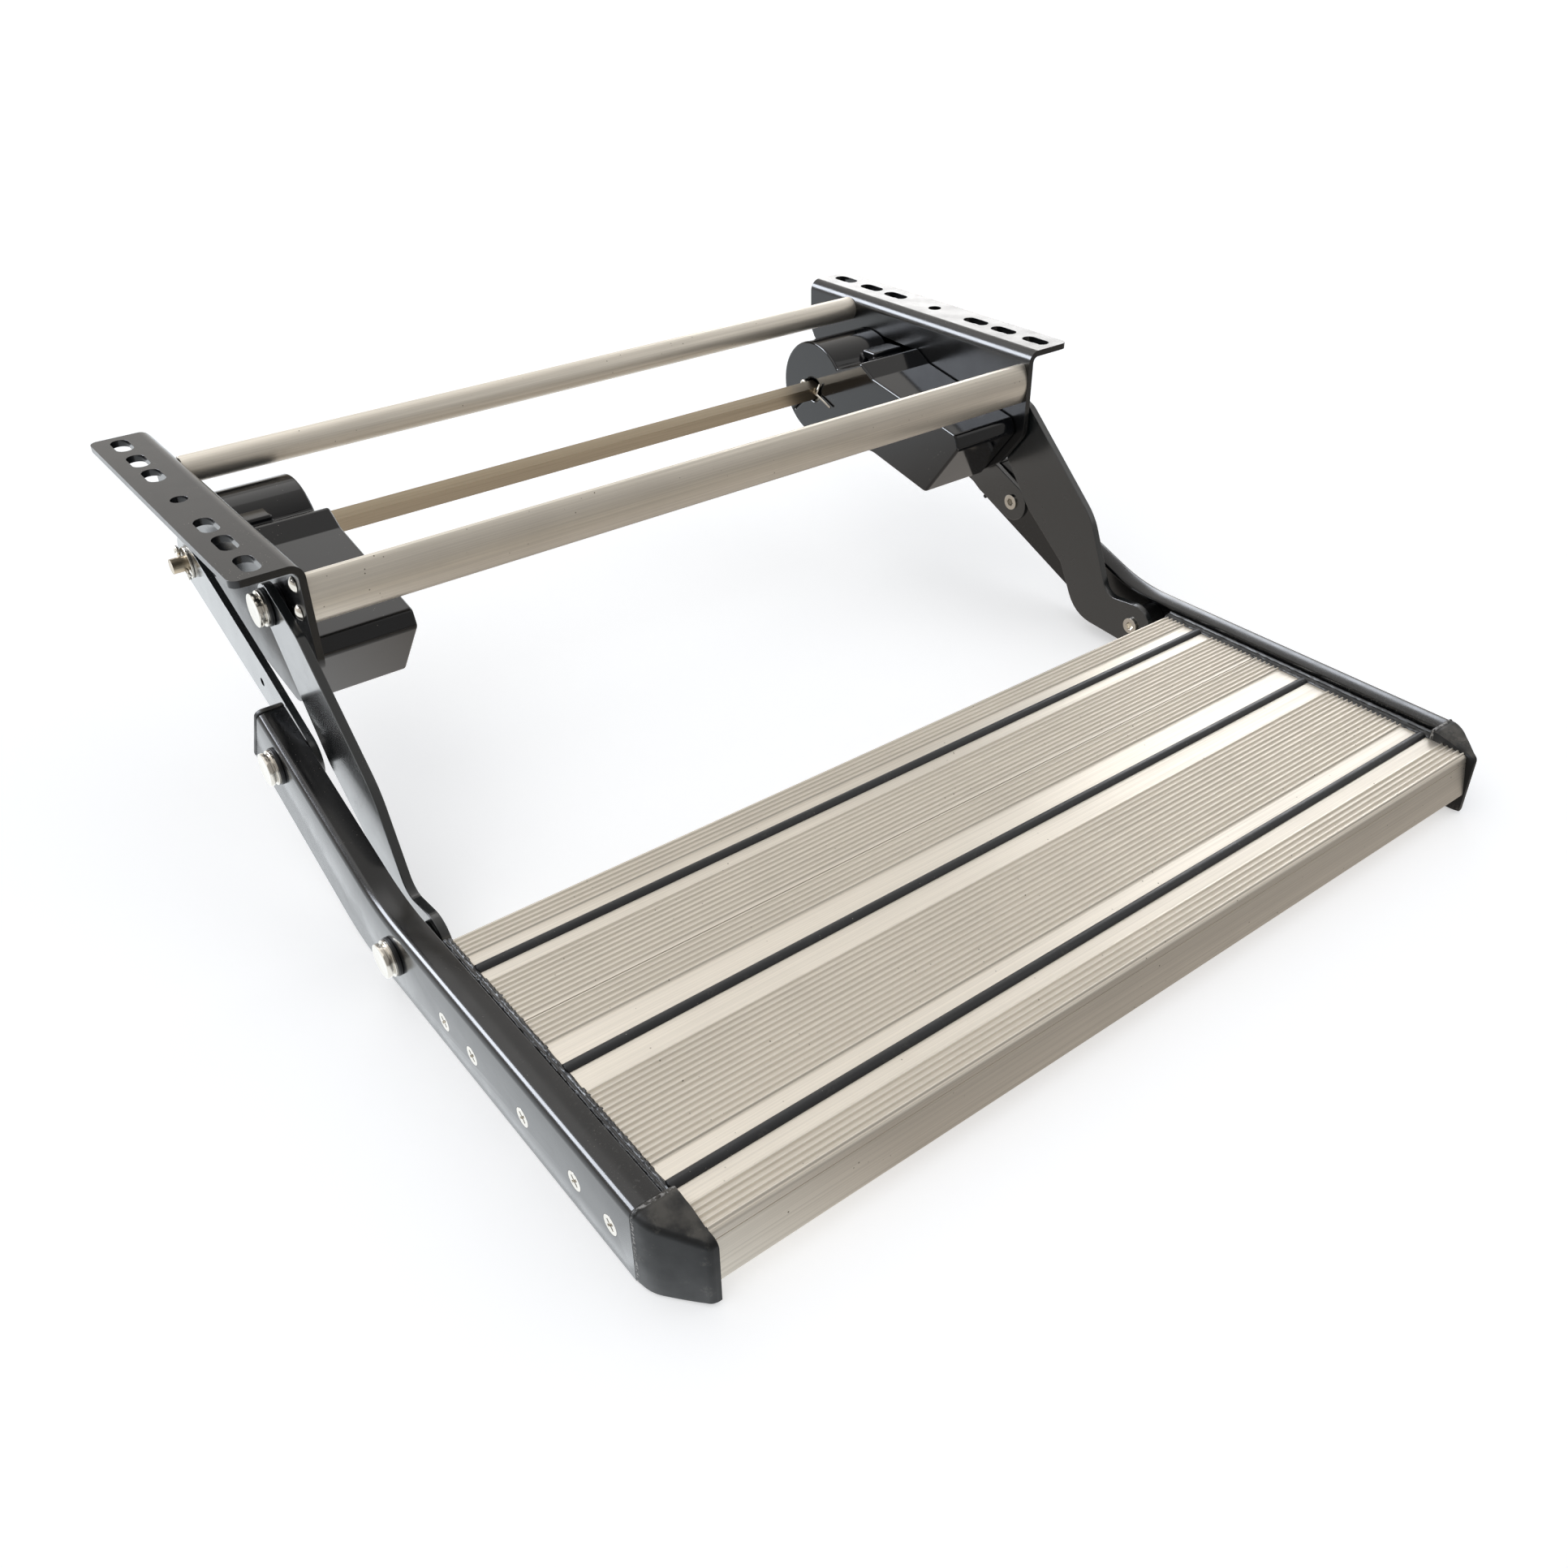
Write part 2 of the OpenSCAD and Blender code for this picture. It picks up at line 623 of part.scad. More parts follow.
rear_link_swell = [0.7 * rear_link_length, rear_link_end_r + 2, 60];
rear_link_step = [rear_link_length - 30, -rear_link_end_r, 8];
rear_link_waist = [rear_link_length - 38, -rear_link_end_r + 1.5, 8];
rear_link_corners = [
    touch(0, rear_link_top_r, rear_link_swell, 1),
    rear_link_swell,
    touch(rear_link_length, rear_link_end_r, rear_link_swell, -1),
    touch(rear_link_length, rear_link_end_r, rear_link_step, 1),
    rear_link_step,
    rear_link_waist,
    touch(0, rear_link_top_r, rear_link_waist, -1)];
rear_link_hole = on_link(rear_top, rear_foot, [0.64 * rear_link_length, 0, 2.5]);

module rear_link() {
    color([0.08, 0.08, 0.09]) plate(rear_link_in, rear_link_out) difference() {
        link_outline(rear_top, rear_foot, rear_link_top_r, rear_link_end_r, rear_link_corners);
        translate(rear_foot) circle(hole_r);
        translate(xy(rear_link_hole)) circle(rear_link_hole[2]);
        translate(rear_top) rotate(shaft_turn) square(shaft_side + 2 * fit_gap, center = true);
    }
}

// Pins, nuts and washers. A pin's stack runs outwards from X = seat.
module pin_stack_pin(place, tip, seat) {
    head = seat + nylon_washer_t + steel_washer_t;
    rod(place, tip, head + eps, pin_d / 2);
    rod(place, head, head + pin_head_t - 0.8, pin_head_d / 2);
    translate([head + pin_head_t - 0.8, place.x, place.y]) rotate([0, 90, 0])
        cylinder(h = 0.8, r1 = pin_head_d / 2, r2 = pin_head_d / 2 - 0.8);
}

module nylon_washer(place, seat) {
    ring(place, seat, seat + nylon_washer_t, pin_head_d / 2 + 1.1, hole_r);
}

module steel_washer(place, seat) {
    ring(place, seat + nylon_washer_t, seat + nylon_washer_t + steel_washer_t,
         pin_head_d / 2 + 0.6, hole_r);
}

// A flanged nut whose sleeve fills the last of the bore
module pivot_nut(place, flange_from, sleeve_to) {
    difference() {
        union() {
            rod(place, flange_from, flange_from + nut_t, nut_d / 2);
            rod(place, flange_from + nut_t - eps, sleeve_to, pin_d / 2);
        }
        plate(flange_from - 1, flange_from + nut_t + 1) translate(place) circle(hex_socket_r, $fn = 6);
    }
}

nut_sleeve = 3;
upper_seat = front_link_out + face_gap;
foot_nut_from = front_link_in - face_gap - nut_t;

module upper_pivot_pins() {
    color([0.8, 0.79, 0.77]) both_sides() pin_stack_pin(front_top, web_in + nut_sleeve, upper_seat);
}

module upper_pivot_nuts() {
    color([0.8, 0.79, 0.77]) both_sides() pivot_nut(front_top, web_in - nut_t, web_in + nut_sleeve);
}

module front_foot_pivot_pins() {
    color([0.8, 0.79, 0.77]) both_sides()
        pin_stack_pin(front_foot, foot_nut_from + nut_t + nut_sleeve, rail_out);
}

module front_foot_pivot_nuts() {
    color([0.8, 0.79, 0.77]) both_sides()
        pivot_nut(front_foot, foot_nut_from, foot_nut_from + nut_t + nut_sleeve);
}

module front_foot_spacers() {
    color([0.06, 0.06, 0.06]) both_sides()
        ring(front_foot, front_link_out + face_gap, rail_wall_in, pin_d / 2 + 4.5, hole_r);
}

// The rear foot's pin ends just outside the rear link, whose bore the nut's sleeve fills
module rear_foot_pivot_pins() {
    color([0.8, 0.79, 0.77]) both_sides() pin_stack_pin(rear_foot, rear_link_out + face_gap, rail_out);
}

module rear_link_pivot_nuts() {
    color([0.8, 0.79, 0.77]) both_sides() pivot_nut(rear_foot, rear_link_in - nut_t, rear_link_out);
}

module rear_foot_spacers() {
    color([0.06, 0.06, 0.06]) both_sides()
        ring(rear_foot, rear_link_out + face_gap, rail_wall_in, pin_d / 2 + 3, hole_r);
}

// Side rails: a wall with a flange that points inwards; both rise towards the rear end.
// Lower and upper corner of the rail's rear end, moved back by extra
function rail_end(extra) =
    let (low = [rail_rear + extra,
                rail_bottom + (rail_rear + extra - bottom_bend_y) * tan(rail_rise + rail_taper)],
         slant = tan(rail_end_slant), rise = tan(rail_rise),
         y = (low.x + slant * (low.y - rail_top + rise * top_bend_y)) / (1 + rise * slant))
    [low, [y, rail_top + (y - top_bend_y) * rise]];
// Outline of the rail's side; extra lengthens both ends and drop lowers the lower edge
function rail_corners(extra, drop = 0) =
    let (end = rail_end(extra)) [
    [rail_front - extra, rail_bottom - drop, 0],
    [bottom_bend_y, rail_bottom - drop, bottom_bend_r],
    [end[0].x, end[0].y - drop, 0],
    [end[1].x, end[1].y, 0],
    [top_bend_y, rail_top, top_bend_r],
    [rail_front - extra, rail_top, 0]];
// The part of the rail's outline within reach of its upper edge
module rail_upper_band(reach) {
    difference() {
        polygon(rounded(rail_corners(20)));
        polygon(rounded(inset(rail_corners(25, 25), reach)));
    }
}
screw_places = [for (d = concat(rear_screws, front_screws)) [tread_rear - d, port_z]];
csink_depth = 2.6;

module screw_cone(place, gap) {
    translate([rail_out - csink_depth, place.x, place.y]) rotate([0, 90, 0])
        cylinder(h = csink_depth + eps, r1 = rail_screw_r + gap, r2 = rail_screw_head_r + gap);
}

module side_rail() {
    color([0.07, 0.07, 0.08]) difference() {
        plate(rail_in, rail_out) polygon(rounded(rail_corners(0)));
        plate(rail_in - 1, rail_wall_in) polygon(rounded(inset(rail_corners(20, 20), rail_wall)));
        for (place = [front_foot, rear_foot]) rod(place, rail_wall_in - 1, rail_out + 1, hole_r);
        for (place = screw_places) {
            rod(place, rail_wall_in - 1, rail_out + 1, rail_screw_r + fit_gap);
            screw_cone(place, fit_gap);
        }
    }
}

module rail_screws() {
    screw_length = 24;
    color([0.8, 0.79, 0.77]) for (place = screw_places) difference() {
        union() {
            screw_cone(place, 0);
            rod(place, rail_out - screw_length, rail_out - csink_depth + eps, rail_screw_r);
        }
        for (turn = [45, 135]) translate([rail_out - 1.1, place.x, place.y]) rotate([turn, 0, 0])
            translate([0, -3, -0.6]) cube([2, 6, 1.2]);
    }
}

cap_t = 2.5;
plug_depth = 12;
plug_t = 1.5;
plug_gap = 0.2;
// Slice of the rail's end from one setback to another
module rail_slice(from, to, corner_r) {
    low = rail_end(from);
    high = rail_end(to);
    polygon(rounded([[low[0].x, low[0].y, 0], [high[0].x, high[0].y, corner_r],
                     [high[1].x, high[1].y, corner_r], [low[1].x, low[1].y, 0]]));
}

module rear_end_cap() {
    color([0.04, 0.04, 0.04]) {
        plate(rail_wall_in - plug_t, rail_out) rail_slice(plug_gap, cap_t + 1.4, 1.2);
        plate(rail_in, rail_out) intersection() {
            rail_slice(plug_gap, cap_t + 1.4, 1.2);
            rail_upper_band(rail_wall + plug_t);
        }
        plate(rail_wall_in - plug_gap - plug_t, rail_wall_in - plug_gap) intersection() {
            rail_slice(-plug_depth, plug_gap + eps, 0);
            polygon(rounded(inset(rail_corners(20), rail_wall + plug_gap)));
        }
        plate(rail_in + 0.5, rail_wall_in - plug_gap) intersection() {
            rail_slice(-plug_depth, plug_gap + eps, 0);
            difference() {
                polygon(rounded(inset(rail_corners(20), rail_wall + plug_gap)));
                polygon(rounded(inset(rail_corners(25, 25), rail_wall + plug_gap + plug_t)));
            }
        }
    }
}

// Front corner caps close the rails' front ends and the notches in the front board
corner_plan = [
    [rib_end + 0.2, rail_front - 0.2, 0],
    [rib_end + 0.2, rail_front - corner_cap_length, 1],
    [rib_end + 4, rail_front - corner_cap_length, 4],
    [rail_out - 1.5, rail_front - corner_cap_length + 20, 8],
    [rail_out, rail_front - 0.2, 0]];

module front_corner_cap() {
    side = [
        [rail_front + 1, rail_bottom, 0], [rail_front + 1, rail_top + 0.3, 0],
        [rail_front - 5, rail_top + 0.3, 6],
        [rail_front - corner_cap_length - 1, tread_top - 1.2, 0],
        [rail_front - corner_cap_length - 1, rail_bottom, 0]];
    color([0.04, 0.04, 0.04]) {
        difference() {
            intersection() {
                translate([0, 0, -beyond / 2]) linear_extrude(beyond) polygon(rounded(corner_plan));
                plate(rib_end, rail_out) polygon(rounded(side));
            }
            translate([rail_in + cap_t, rail_front - 9, rail_bottom + cap_t])
                cube([rail_flange - 2 * cap_t, 10, rail_height - 2 * cap_t]);
        }
        translate([rail_in + cap_t, rail_front - 8.5, rail_bottom + rail_wall + 0.2])
            cube([rail_wall_in - rail_in - cap_t - 0.3, 20, board_bottom - rail_bottom - rail_wall - 0.6]);
        translate([rail_in, rail_front - 3.2, rail_top - 1]) cube([rail_flange, 3, 2]);
    }
}

// Boards
module board(outline, screws, seats, ribs, notch) {
    color([0.76, 0.72, 0.65]) {
        difference() {
            plate(-board_end, board_end) difference() {
                polygon(rounded(outline));
                difference() {
                    polygon(rounded(inset(outline, board_wall)));
                    for (d = screws) translate([tread_rear - d, port_z]) {
                        circle(port_r);
                        translate([-board_wall / 2, -board_t]) square([board_wall, board_t]);
                    }
                    for (d = seats) translate([tread_rear - d - seat_half, deck - seat_h])
                        square([2 * seat_half, seat_h]);
                }
                for (d = screws) translate([tread_rear - d, port_z]) circle(rail_screw_r + fit_gap);
                for (d = seats) translate([tread_rear - d, deck]) strip_foot(0.1);
            }
            if (notch) both_sides()
                translate([rib_end, rail_front - beyond, board_bottom - 1])
                    cube([board_end - rib_end + 1, beyond, board_t + 2]);
        }
        for (d = ribs) translate([-rib_end, tread_rear - d - rib_width / 2, deck - eps])
            cube([2 * rib_end, rib_width, rib_height + eps]);
    }
}

seat_half = strip_width / 2 + strip_seat_wall;
seat_h = strip_neck_h + strip_foot_h + strip_seat_wall;

module strip_foot(gap) {
    translate([-strip_neck / 2 - gap, -strip_neck_h - gap]) square([strip_neck + 2 * gap, strip_neck_h + 1]);
    translate([-strip_width / 2 - gap, -strip_neck_h - strip_foot_h - gap])
        square([strip_width + 2 * gap, strip_foot_h + gap]);
}

module grip_strip(d) {
    color([0.05, 0.05, 0.05]) plate(-rib_end, rib_end) translate([tread_rear - d, deck]) {
        intersection() {
            translate([0, strip_height - strip_width / 2]) circle(strip_width / 2);
            translate([-strip_width, 0]) square([2 * strip_width, strip_width]);
        }
        intersection() {
            strip_foot(0);
            translate([-strip_width, -strip_width]) square([2 * strip_width, strip_width + 0.5]);
        }
    }
}

module rear_tread_board() {
    board([[joint_rear, board_bottom, 1], [tread_rear, board_bottom, 1.5],
           [tread_rear, deck, 1], [joint_rear, deck, 0.4]],
          rear_screws, [strips[0]], rear_ribs, false);
}

module front_tread_board() {
    board([[tread_front - nose_lean, board_bottom, 2], [joint_front, board_bottom, 1],
           [joint_front, deck, 0.4], [tread_front, deck, 2]],
          front_screws, [strips[1], strips[2]], front_ribs, true);
}

module end_trim() {
    color([0.06, 0.06, 0.06]) translate([rib_end + 0.2, rail_front + 0.2, deck])
        cube([board_end - rib_end - 0.2, tread_rear - rail_front - 0.2, rail_top - rail_wall - 0.1 - deck]);
}

on_side(-1) bracket();  // left_bracket
on_side(1) bracket();  // right_bracket
rear_cross_tube();
front_cross_bar();
cross_bar_screws();
on_side(-1) spring_cover();  // left_spring_cover
on_side(1) spring_cover();  // right_spring_cover
on_side(-1) torsion_spring();  // left_torsion_spring
on_side(1) torsion_spring();  // right_torsion_spring
spring_anchor_pins();
upper_pivot_pins();
upper_pivot_nuts();
color([0.8, 0.79, 0.77])  // upper_pivot_steel_washers
    both_sides() steel_washer(front_top, upper_seat);
color([0.06, 0.06, 0.06])  // upper_pivot_nylon_washers
    both_sides() for (seat = [web_out, upper_seat]) nylon_washer(front_top, seat);
on_side(-1) front_link();  // left_front_link
on_side(1) front_link();  // right_front_link
square_shaft();
on_side(-1) rear_link();  // left_rear_link
on_side(1) rear_link();  // right_rear_link
shaft_bushes();
shaft_end_washers();
shaft_end_split_pins();
cover_split_pins();
spring_hubs();
rear_link_pivot_nuts();
on_side(-1) side_rail();  // left_side_rail
on_side(1) side_rail();  // right_side_rail
on_side(-1) rear_end_cap();  // left_rear_end_cap
on_side(1) rear_end_cap();  // right_rear_end_cap
on_side(-1) front_corner_cap();  // left_front_corner_cap
on_side(1) front_corner_cap();  // right_front_corner_cap
rear_tread_board();
front_tread_board();
grip_strip(strips[0]);  // rear_grip_strip
grip_strip(strips[1]);  // middle_grip_strip
grip_strip(strips[2]);  // front_grip_strip
on_side(-1) end_trim();  // left_end_trim
on_side(1) end_trim();  // right_end_trim
on_side(-1) rail_screws();  // left_rail_screws
on_side(1) rail_screws();  // right_rail_screws
front_foot_pivot_pins();
front_foot_pivot_nuts();
color([0.8, 0.79, 0.77])  // front_foot_steel_washers
    both_sides() steel_washer(front_foot, rail_out);
color([0.06, 0.06, 0.06])  // front_foot_nylon_washers
    both_sides() nylon_washer(front_foot, rail_out);
front_foot_spacers();
rear_foot_pivot_pins();
color([0.8, 0.79, 0.77])  // rear_foot_steel_washers
    both_sides() steel_washer(rear_foot, rail_out);
color([0.06, 0.06, 0.06])  // rear_foot_nylon_washers
    both_sides() nylon_washer(rear_foot, rail_out);
rear_foot_spacers();
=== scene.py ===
"""Caravan pull-out step: finishes and fine shapes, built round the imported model."""

import math

import bmesh
import bpy
from mathutils import Matrix, Vector, noise


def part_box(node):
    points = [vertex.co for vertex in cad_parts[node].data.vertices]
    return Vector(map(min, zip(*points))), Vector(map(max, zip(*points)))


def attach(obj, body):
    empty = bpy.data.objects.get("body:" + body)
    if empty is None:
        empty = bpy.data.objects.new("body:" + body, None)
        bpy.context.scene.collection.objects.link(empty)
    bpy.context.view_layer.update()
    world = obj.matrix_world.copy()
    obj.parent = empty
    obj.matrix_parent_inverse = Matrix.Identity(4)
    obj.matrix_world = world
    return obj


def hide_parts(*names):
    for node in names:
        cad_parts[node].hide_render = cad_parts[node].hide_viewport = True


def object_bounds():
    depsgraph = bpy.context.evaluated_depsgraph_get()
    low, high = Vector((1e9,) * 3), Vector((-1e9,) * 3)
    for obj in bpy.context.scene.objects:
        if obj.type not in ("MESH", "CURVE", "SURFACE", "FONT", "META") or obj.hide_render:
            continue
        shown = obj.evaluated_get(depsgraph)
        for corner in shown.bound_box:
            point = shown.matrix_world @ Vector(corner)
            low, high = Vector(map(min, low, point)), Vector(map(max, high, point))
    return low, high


bl_info = {
    "name": "Caravan Pull-out Step",
    "version": (1, 0, 0),
    "blender": (4, 5, 0),
    "location": "View3D > Sidebar > Step",
    "description": "Finishes and fine shapes of a single pull-out entry step",
    "category": "Add Mesh",
}

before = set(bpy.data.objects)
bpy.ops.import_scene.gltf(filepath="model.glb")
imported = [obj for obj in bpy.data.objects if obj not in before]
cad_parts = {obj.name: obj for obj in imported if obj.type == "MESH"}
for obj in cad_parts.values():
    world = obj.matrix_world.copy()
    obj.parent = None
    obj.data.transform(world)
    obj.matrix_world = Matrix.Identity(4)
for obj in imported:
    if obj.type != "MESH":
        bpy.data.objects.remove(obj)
cad_low, cad_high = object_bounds()
MM = 0.001
SIDES = {"left": -1, "right": 1}

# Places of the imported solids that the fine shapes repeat, in millimetres. X is given for the
# right-hand side, pairs are Y and Z, and setbacks run forward from the tread's rear edge.
FRONT_TOP = (-79.0, -36.0)
FRONT_FOOT = (-226.0, -162.5)
REAR_FOOT = (-101.0, -115.0)
RAIL_IN, RAIL_WALL_IN, RAIL_OUT = 269.5, 282.0, 285.0
RAIL_TOP, RAIL_BOTTOM, RAIL_FRONT = -142.0, -185.0, -443.0
RAIL_WALL = 3.0
RAIL_HIGH_END = Vector((-84.23, -91.85))
RAIL_LOW_END = Vector((-60.0, -130.63))
# Corners of the rails' edges where they turn up, and the radius of each turn
TOP_BEND = (-214.2, RAIL_TOP, 110.0)
BOTTOM_BEND = (-179.3, RAIL_BOTTOM, 90.0)
BOARD_END, RIB_END = 281.6, 263.5
TREAD_REAR, TREAD_FRONT = -249.3, -466.8
JOINT_REAR, JOINT_FRONT = -320.8, -321.6
DECK, BOARD_BOTTOM = -147.8, -173.7
NOSE_LEAN = 4.8
STRIP_SETBACKS = (27.4, 108.8, 189.0)
# Distances from each strip's middle to the nearest rib behind it and in front of it
FLATS = ((11.7, 11.8), (18.9, 17.9), (13.5, 13.2))
RIB_PITCH, RIB_MARGIN = 3.25, 1.3
STRIP_WIDTH, STRIP_NECK, NECK_DEPTH, FOOT_DEPTH = 6.4, 4.8, 1.4, 3.0
SCREW_Z = -167.0
SCREW_SETBACKS = (29.7, 57.7, 104.7, 148.7, 176.7)
PIN_RADIUS, HEAD_RADIUS, HEAD_HEIGHT = 5.0, 9.2, 3.8
# Where caps and trims start beside the ribs, and the ends of the corner caps
PAST_RIBS = RIB_END + 0.2
CAP_REAR, CAP_FRONT = RAIL_FRONT - 0.2, RAIL_FRONT - 29.0


# Colours and sizes


def srgb(code):
    """A hex sRGB colour as linear red, green and blue with full alpha."""
    parts = [int(code[i : i + 2], 16) / 255 for i in (1, 3, 5)]
    linear = [c / 12.92 if c <= 0.04045 else ((c + 0.055) / 1.055) ** 2.4 for c in parts]
    return (*linear, 1.0)


def darkened(colour, share):
    """The colour at a share of its strength."""
    return [share * c for c in colour[:3]] + [1.0]


def colour_prop(name, description, code):
    return bpy.props.FloatVectorProperty(
        name=name, description=description, subtype="COLOR", size=4, min=0, max=1,
        default=srgb(code),
    )


def length_prop(name, description, default_mm, low_mm, high_mm):
    return bpy.props.FloatProperty(
        name=name, description=description, subtype="DISTANCE", unit="LENGTH",
        default=default_mm * MM, min=low_mm * MM, max=high_mm * MM,
    )


class StepColours(bpy.types.PropertyGroup):
    """Colours of the finishes."""

    enamel: colour_prop("Enamel", "Black enamel on brackets and rails", "#0B0C0E")
    powder: colour_prop("Powder coat", "Black powder coat on the links", "#1A1D1E")
    # Pale dust and scuffs; the same colour also paints a sheen on the caps' level tops, a painted
    # highlight
    dust_and_sheen: colour_prop("Dust", "Dust and scuffs on black surfaces", "#8C867C")
    anodised: colour_prop("Anodised", "Champagne anodising of the boards and bars", "#DDD6CA")
    rubber: colour_prop("Rubber", "Rubber of the grip strips", "#1B1C1E")
    gloss: colour_prop("Gloss plastic", "Plastic of the spring covers", "#090B0F")
    cap: colour_prop("Cap plastic", "Plastic of the caps", "#131415")
    trim: colour_prop("Trim", "Sealant-like trim along the boards", "#0E0F10")
    plating: colour_prop("Plating", "Nickel plating of the fasteners", "#C9C4BB")
    shaft: colour_prop("Shaft", "Bright drawn steel of the shaft", "#B6A994")
    spring: colour_prop("Spring", "Oiled wire of the springs", "#4A4B4D")
    black_nylon: colour_prop("Black nylon", "Nylon of washers, spacers and bushes", "#101011")
    natural_nylon: colour_prop("Natural nylon", "Nylon of the spring hubs", "#D9D5C8")


class StepSizes(bpy.types.PropertyGroup):
    """Sizes of the fine shapes."""

    plate_edge: length_prop("Plate edge", "Rounding of the brackets and the shaft", 0.9, 0.2, 1.5)
    link_edge: length_prop("Link edge", "Rounding of the links' cut edges", 0.5, 0.2, 1.2)
    cover_edge: length_prop("Cover edge", "Rounding of the spring covers' edges", 1.8, 0.2, 2.2)
    small_edge: length_prop("Small edge", "Rounding of washers, nuts and hubs", 0.35, 0.1, 0.6)
    screw_edge: length_prop("Screw edge", "Rounding of the rail screws", 0.12, 0.05, 0.2)
    rail_corner: length_prop("Rail corner", "Outer radius of the rails' bent corner", 4.5, 3.2, 6)
    cap_corner: length_prop("Cap corner", "Radius of the corner caps' upper edge", 3.4, 1, 4)


# Materials


def add(tree, kind, inputs=None, give=None, **settings):
    """Adds a node, with values or sockets to link from as inputs. Gives one output or the node."""
    node = tree.nodes.new(f"ShaderNode{kind}")
    for key, value in settings.items():
        setattr(node, key, value)
    for key, value in (inputs or {}).items():
        if isinstance(value, bpy.types.NodeSocket):
            tree.links.new(value, node.inputs[key])
        else:
            node.inputs[key].default_value = value
    return node if give is None else node.outputs[give]


def new_material(name):
    """A material with an empty node tree, its tree, and the place on the object in metres."""
    material = bpy.data.materials.new(name)
    material.use_nodes = True
    tree = material.node_tree
    tree.nodes.clear()
    return material, tree, add(tree, "TexCoord", give="Object")


def pattern(place, size_mm, **more):
    """Inputs of a pattern with this period, for a place in metres."""
    return {"Vector": place, "Scale": 1 / (size_mm * MM), **more}


def spread(value, fade, share):
    """Inputs that take a value's part between the limits of fade to those of share."""
    return {"Value": value, "From Min": fade[0], "From Max": fade[1],
            "To Min": share[0], "To Max": share[1]}


def patches(tree, place, size_mm, detail, fade, share):
    """Cloudy patches of one size: their values within fade, spread over share."""
    cloud = add(tree, "TexNoise", pattern(place, size_mm, Detail=detail), "Fac")
    return add(tree, "MapRange", spread(cloud, fade, share), "Result")


def relief(tree, place, size_mm, detail, strength, depth_mm, below=None):
    """A slightly uneven surface, on top of another unevenness where one is given."""
    height = add(tree, "TexNoise", pattern(place, size_mm, Detail=detail), "Fac")
    inputs = {"Height": height, "Strength": strength, "Distance": depth_mm * MM}
    if below:
        inputs["Normal"] = below
    return add(tree, "Bump", inputs, "Normal")


def specks(tree, place, size_mm, reach, patch_mm, cover):
    """Two masks of small dots: the dots themselves, and the loose patches that they lie in."""
    cells = add(tree, "TexVoronoi", pattern(place, size_mm), "Distance")
    dots = add(tree, "MapRange", spread(cells, (0.6 * reach, reach), (1.0, 0.0)), "Result")
    return dots, patches(tree, place, patch_mm, 3.0, (cover, cover + 0.12), (0.0, 1.0))


def facing_up(tree, fade, most):
    """A mask that grows to its most as the surface turns up."""
    normal = add(tree, "NewGeometry", give="Normal")
    up = add(tree, "SeparateXYZ", {0: normal}, "Z")
    return add(tree, "MapRange", spread(up, fade, (0.0, most)), "Result")


def band(tree, place, middle_mm, half_mm, end_mm):
    """A mask along X at one Y: 1 up to its half width and 0 from its end on."""
    along = add(tree, "SeparateXYZ", {0: place}, "Y")
    off = add(tree, "Math", {0: along, 1: middle_mm * MM}, 0, operation="SUBTRACT")
    off = add(tree, "Math", {0: off}, 0, operation="ABSOLUTE")
    fade = (half_mm * MM, end_mm * MM)
    return add(tree, "MapRange", spread(off, fade, (1.0, 0.0)), "Result")


def layered(tree, base, *layers):
    """Lays colours over a base, each as far as all of its masks allow."""
    for colour, share, *masks in layers:
        for mask in masks:
            share = add(tree, "Math", {0: share, 1: mask}, 0, operation="MULTIPLY")
        base = add(tree, "Mix", {0: share, 6: base, 7: colour}, 2, data_type="RGBA")
    return base


def close(tree, **inputs):
    """Ends a tree with the shader, whose inputs are given with their blanks as underscores."""
    named = {key.replace("_", " "): value for key, value in inputs.items()}
    shader = add(tree, "BsdfPrincipled", named, "BSDF")
    add(tree, "OutputMaterial", {"Surface": shader})


BARE_CHIP = srgb("#B9B6B0")
DECK_SOIL = srgb("#6F675A")
SEAM_FLASH = srgb("#A9A6A2")
METAL_GRIME = srgb("#4A4238")
# Lines are a pattern drawn out along X, by its scales along X, Y and Z
EXTRUDED = (0.006, 1.0, 1.0)
DRAWN = (0.012, 1.0, 1.0)
EVEN = (1.0, 1.0, 1.0)
# Real die lines, etch, turning marks and mould grain are 0.05 to 0.3 mm. These, and the grains
# of the recipes, are drawn coarser in millimetres, so that they show.
DIE_LINE, ETCH, TURNING_MARK = 0.9, 0.8, 0.7
SEAM_Y = RAIL_FRONT - 1.4


def coated_steel(name, colour, roughness, peel, dusting, chips, lacquer=0.0):
    """Stoved black coating: the slightly wavy gloss of a thick film, dusty where it faces up."""
    dust_and_sheen = bpy.context.scene.step_colours.dust_and_sheen
    material, tree, place = new_material(name)
    up = facing_up(tree, (0.2, 0.9), dusting)
    film = patches(tree, place, 9, 4.0, (0.35, 0.7), (0.0, 0.03))
    dots = specks(tree, place, 2.2, 0.15, 20, 0.50)
    sharpness = add(tree, "NewGeometry", give="Pointiness")
    edge = add(tree, "MapRange", spread(sharpness, (0.56, 0.66), (0.0, 1.0)), "Result")
    chipped = patches(tree, place, 1.6, 3.0, (0.60, 0.66), (0.0, chips))
    tint = layered(tree, colour, (dust_and_sheen, film, up), (dust_and_sheen, *dots, up), (BARE_CHIP, edge, chipped))
    gloss = patches(tree, place, 14, 4.0, (0.3, 0.7), (roughness - 0.03, roughness + 0.04))
    uneven = relief(tree, place, 3.2, 1.0, peel, 0.05)
    uneven = relief(tree, place, 0.9, 1.0, 0.4 * peel, 0.02, uneven)
    close(tree, Base_Color=tint, Roughness=gloss, Normal=uneven, IOR=1.52,
          Coat_Weight=lacquer, Coat_Roughness=0.15)
    return material


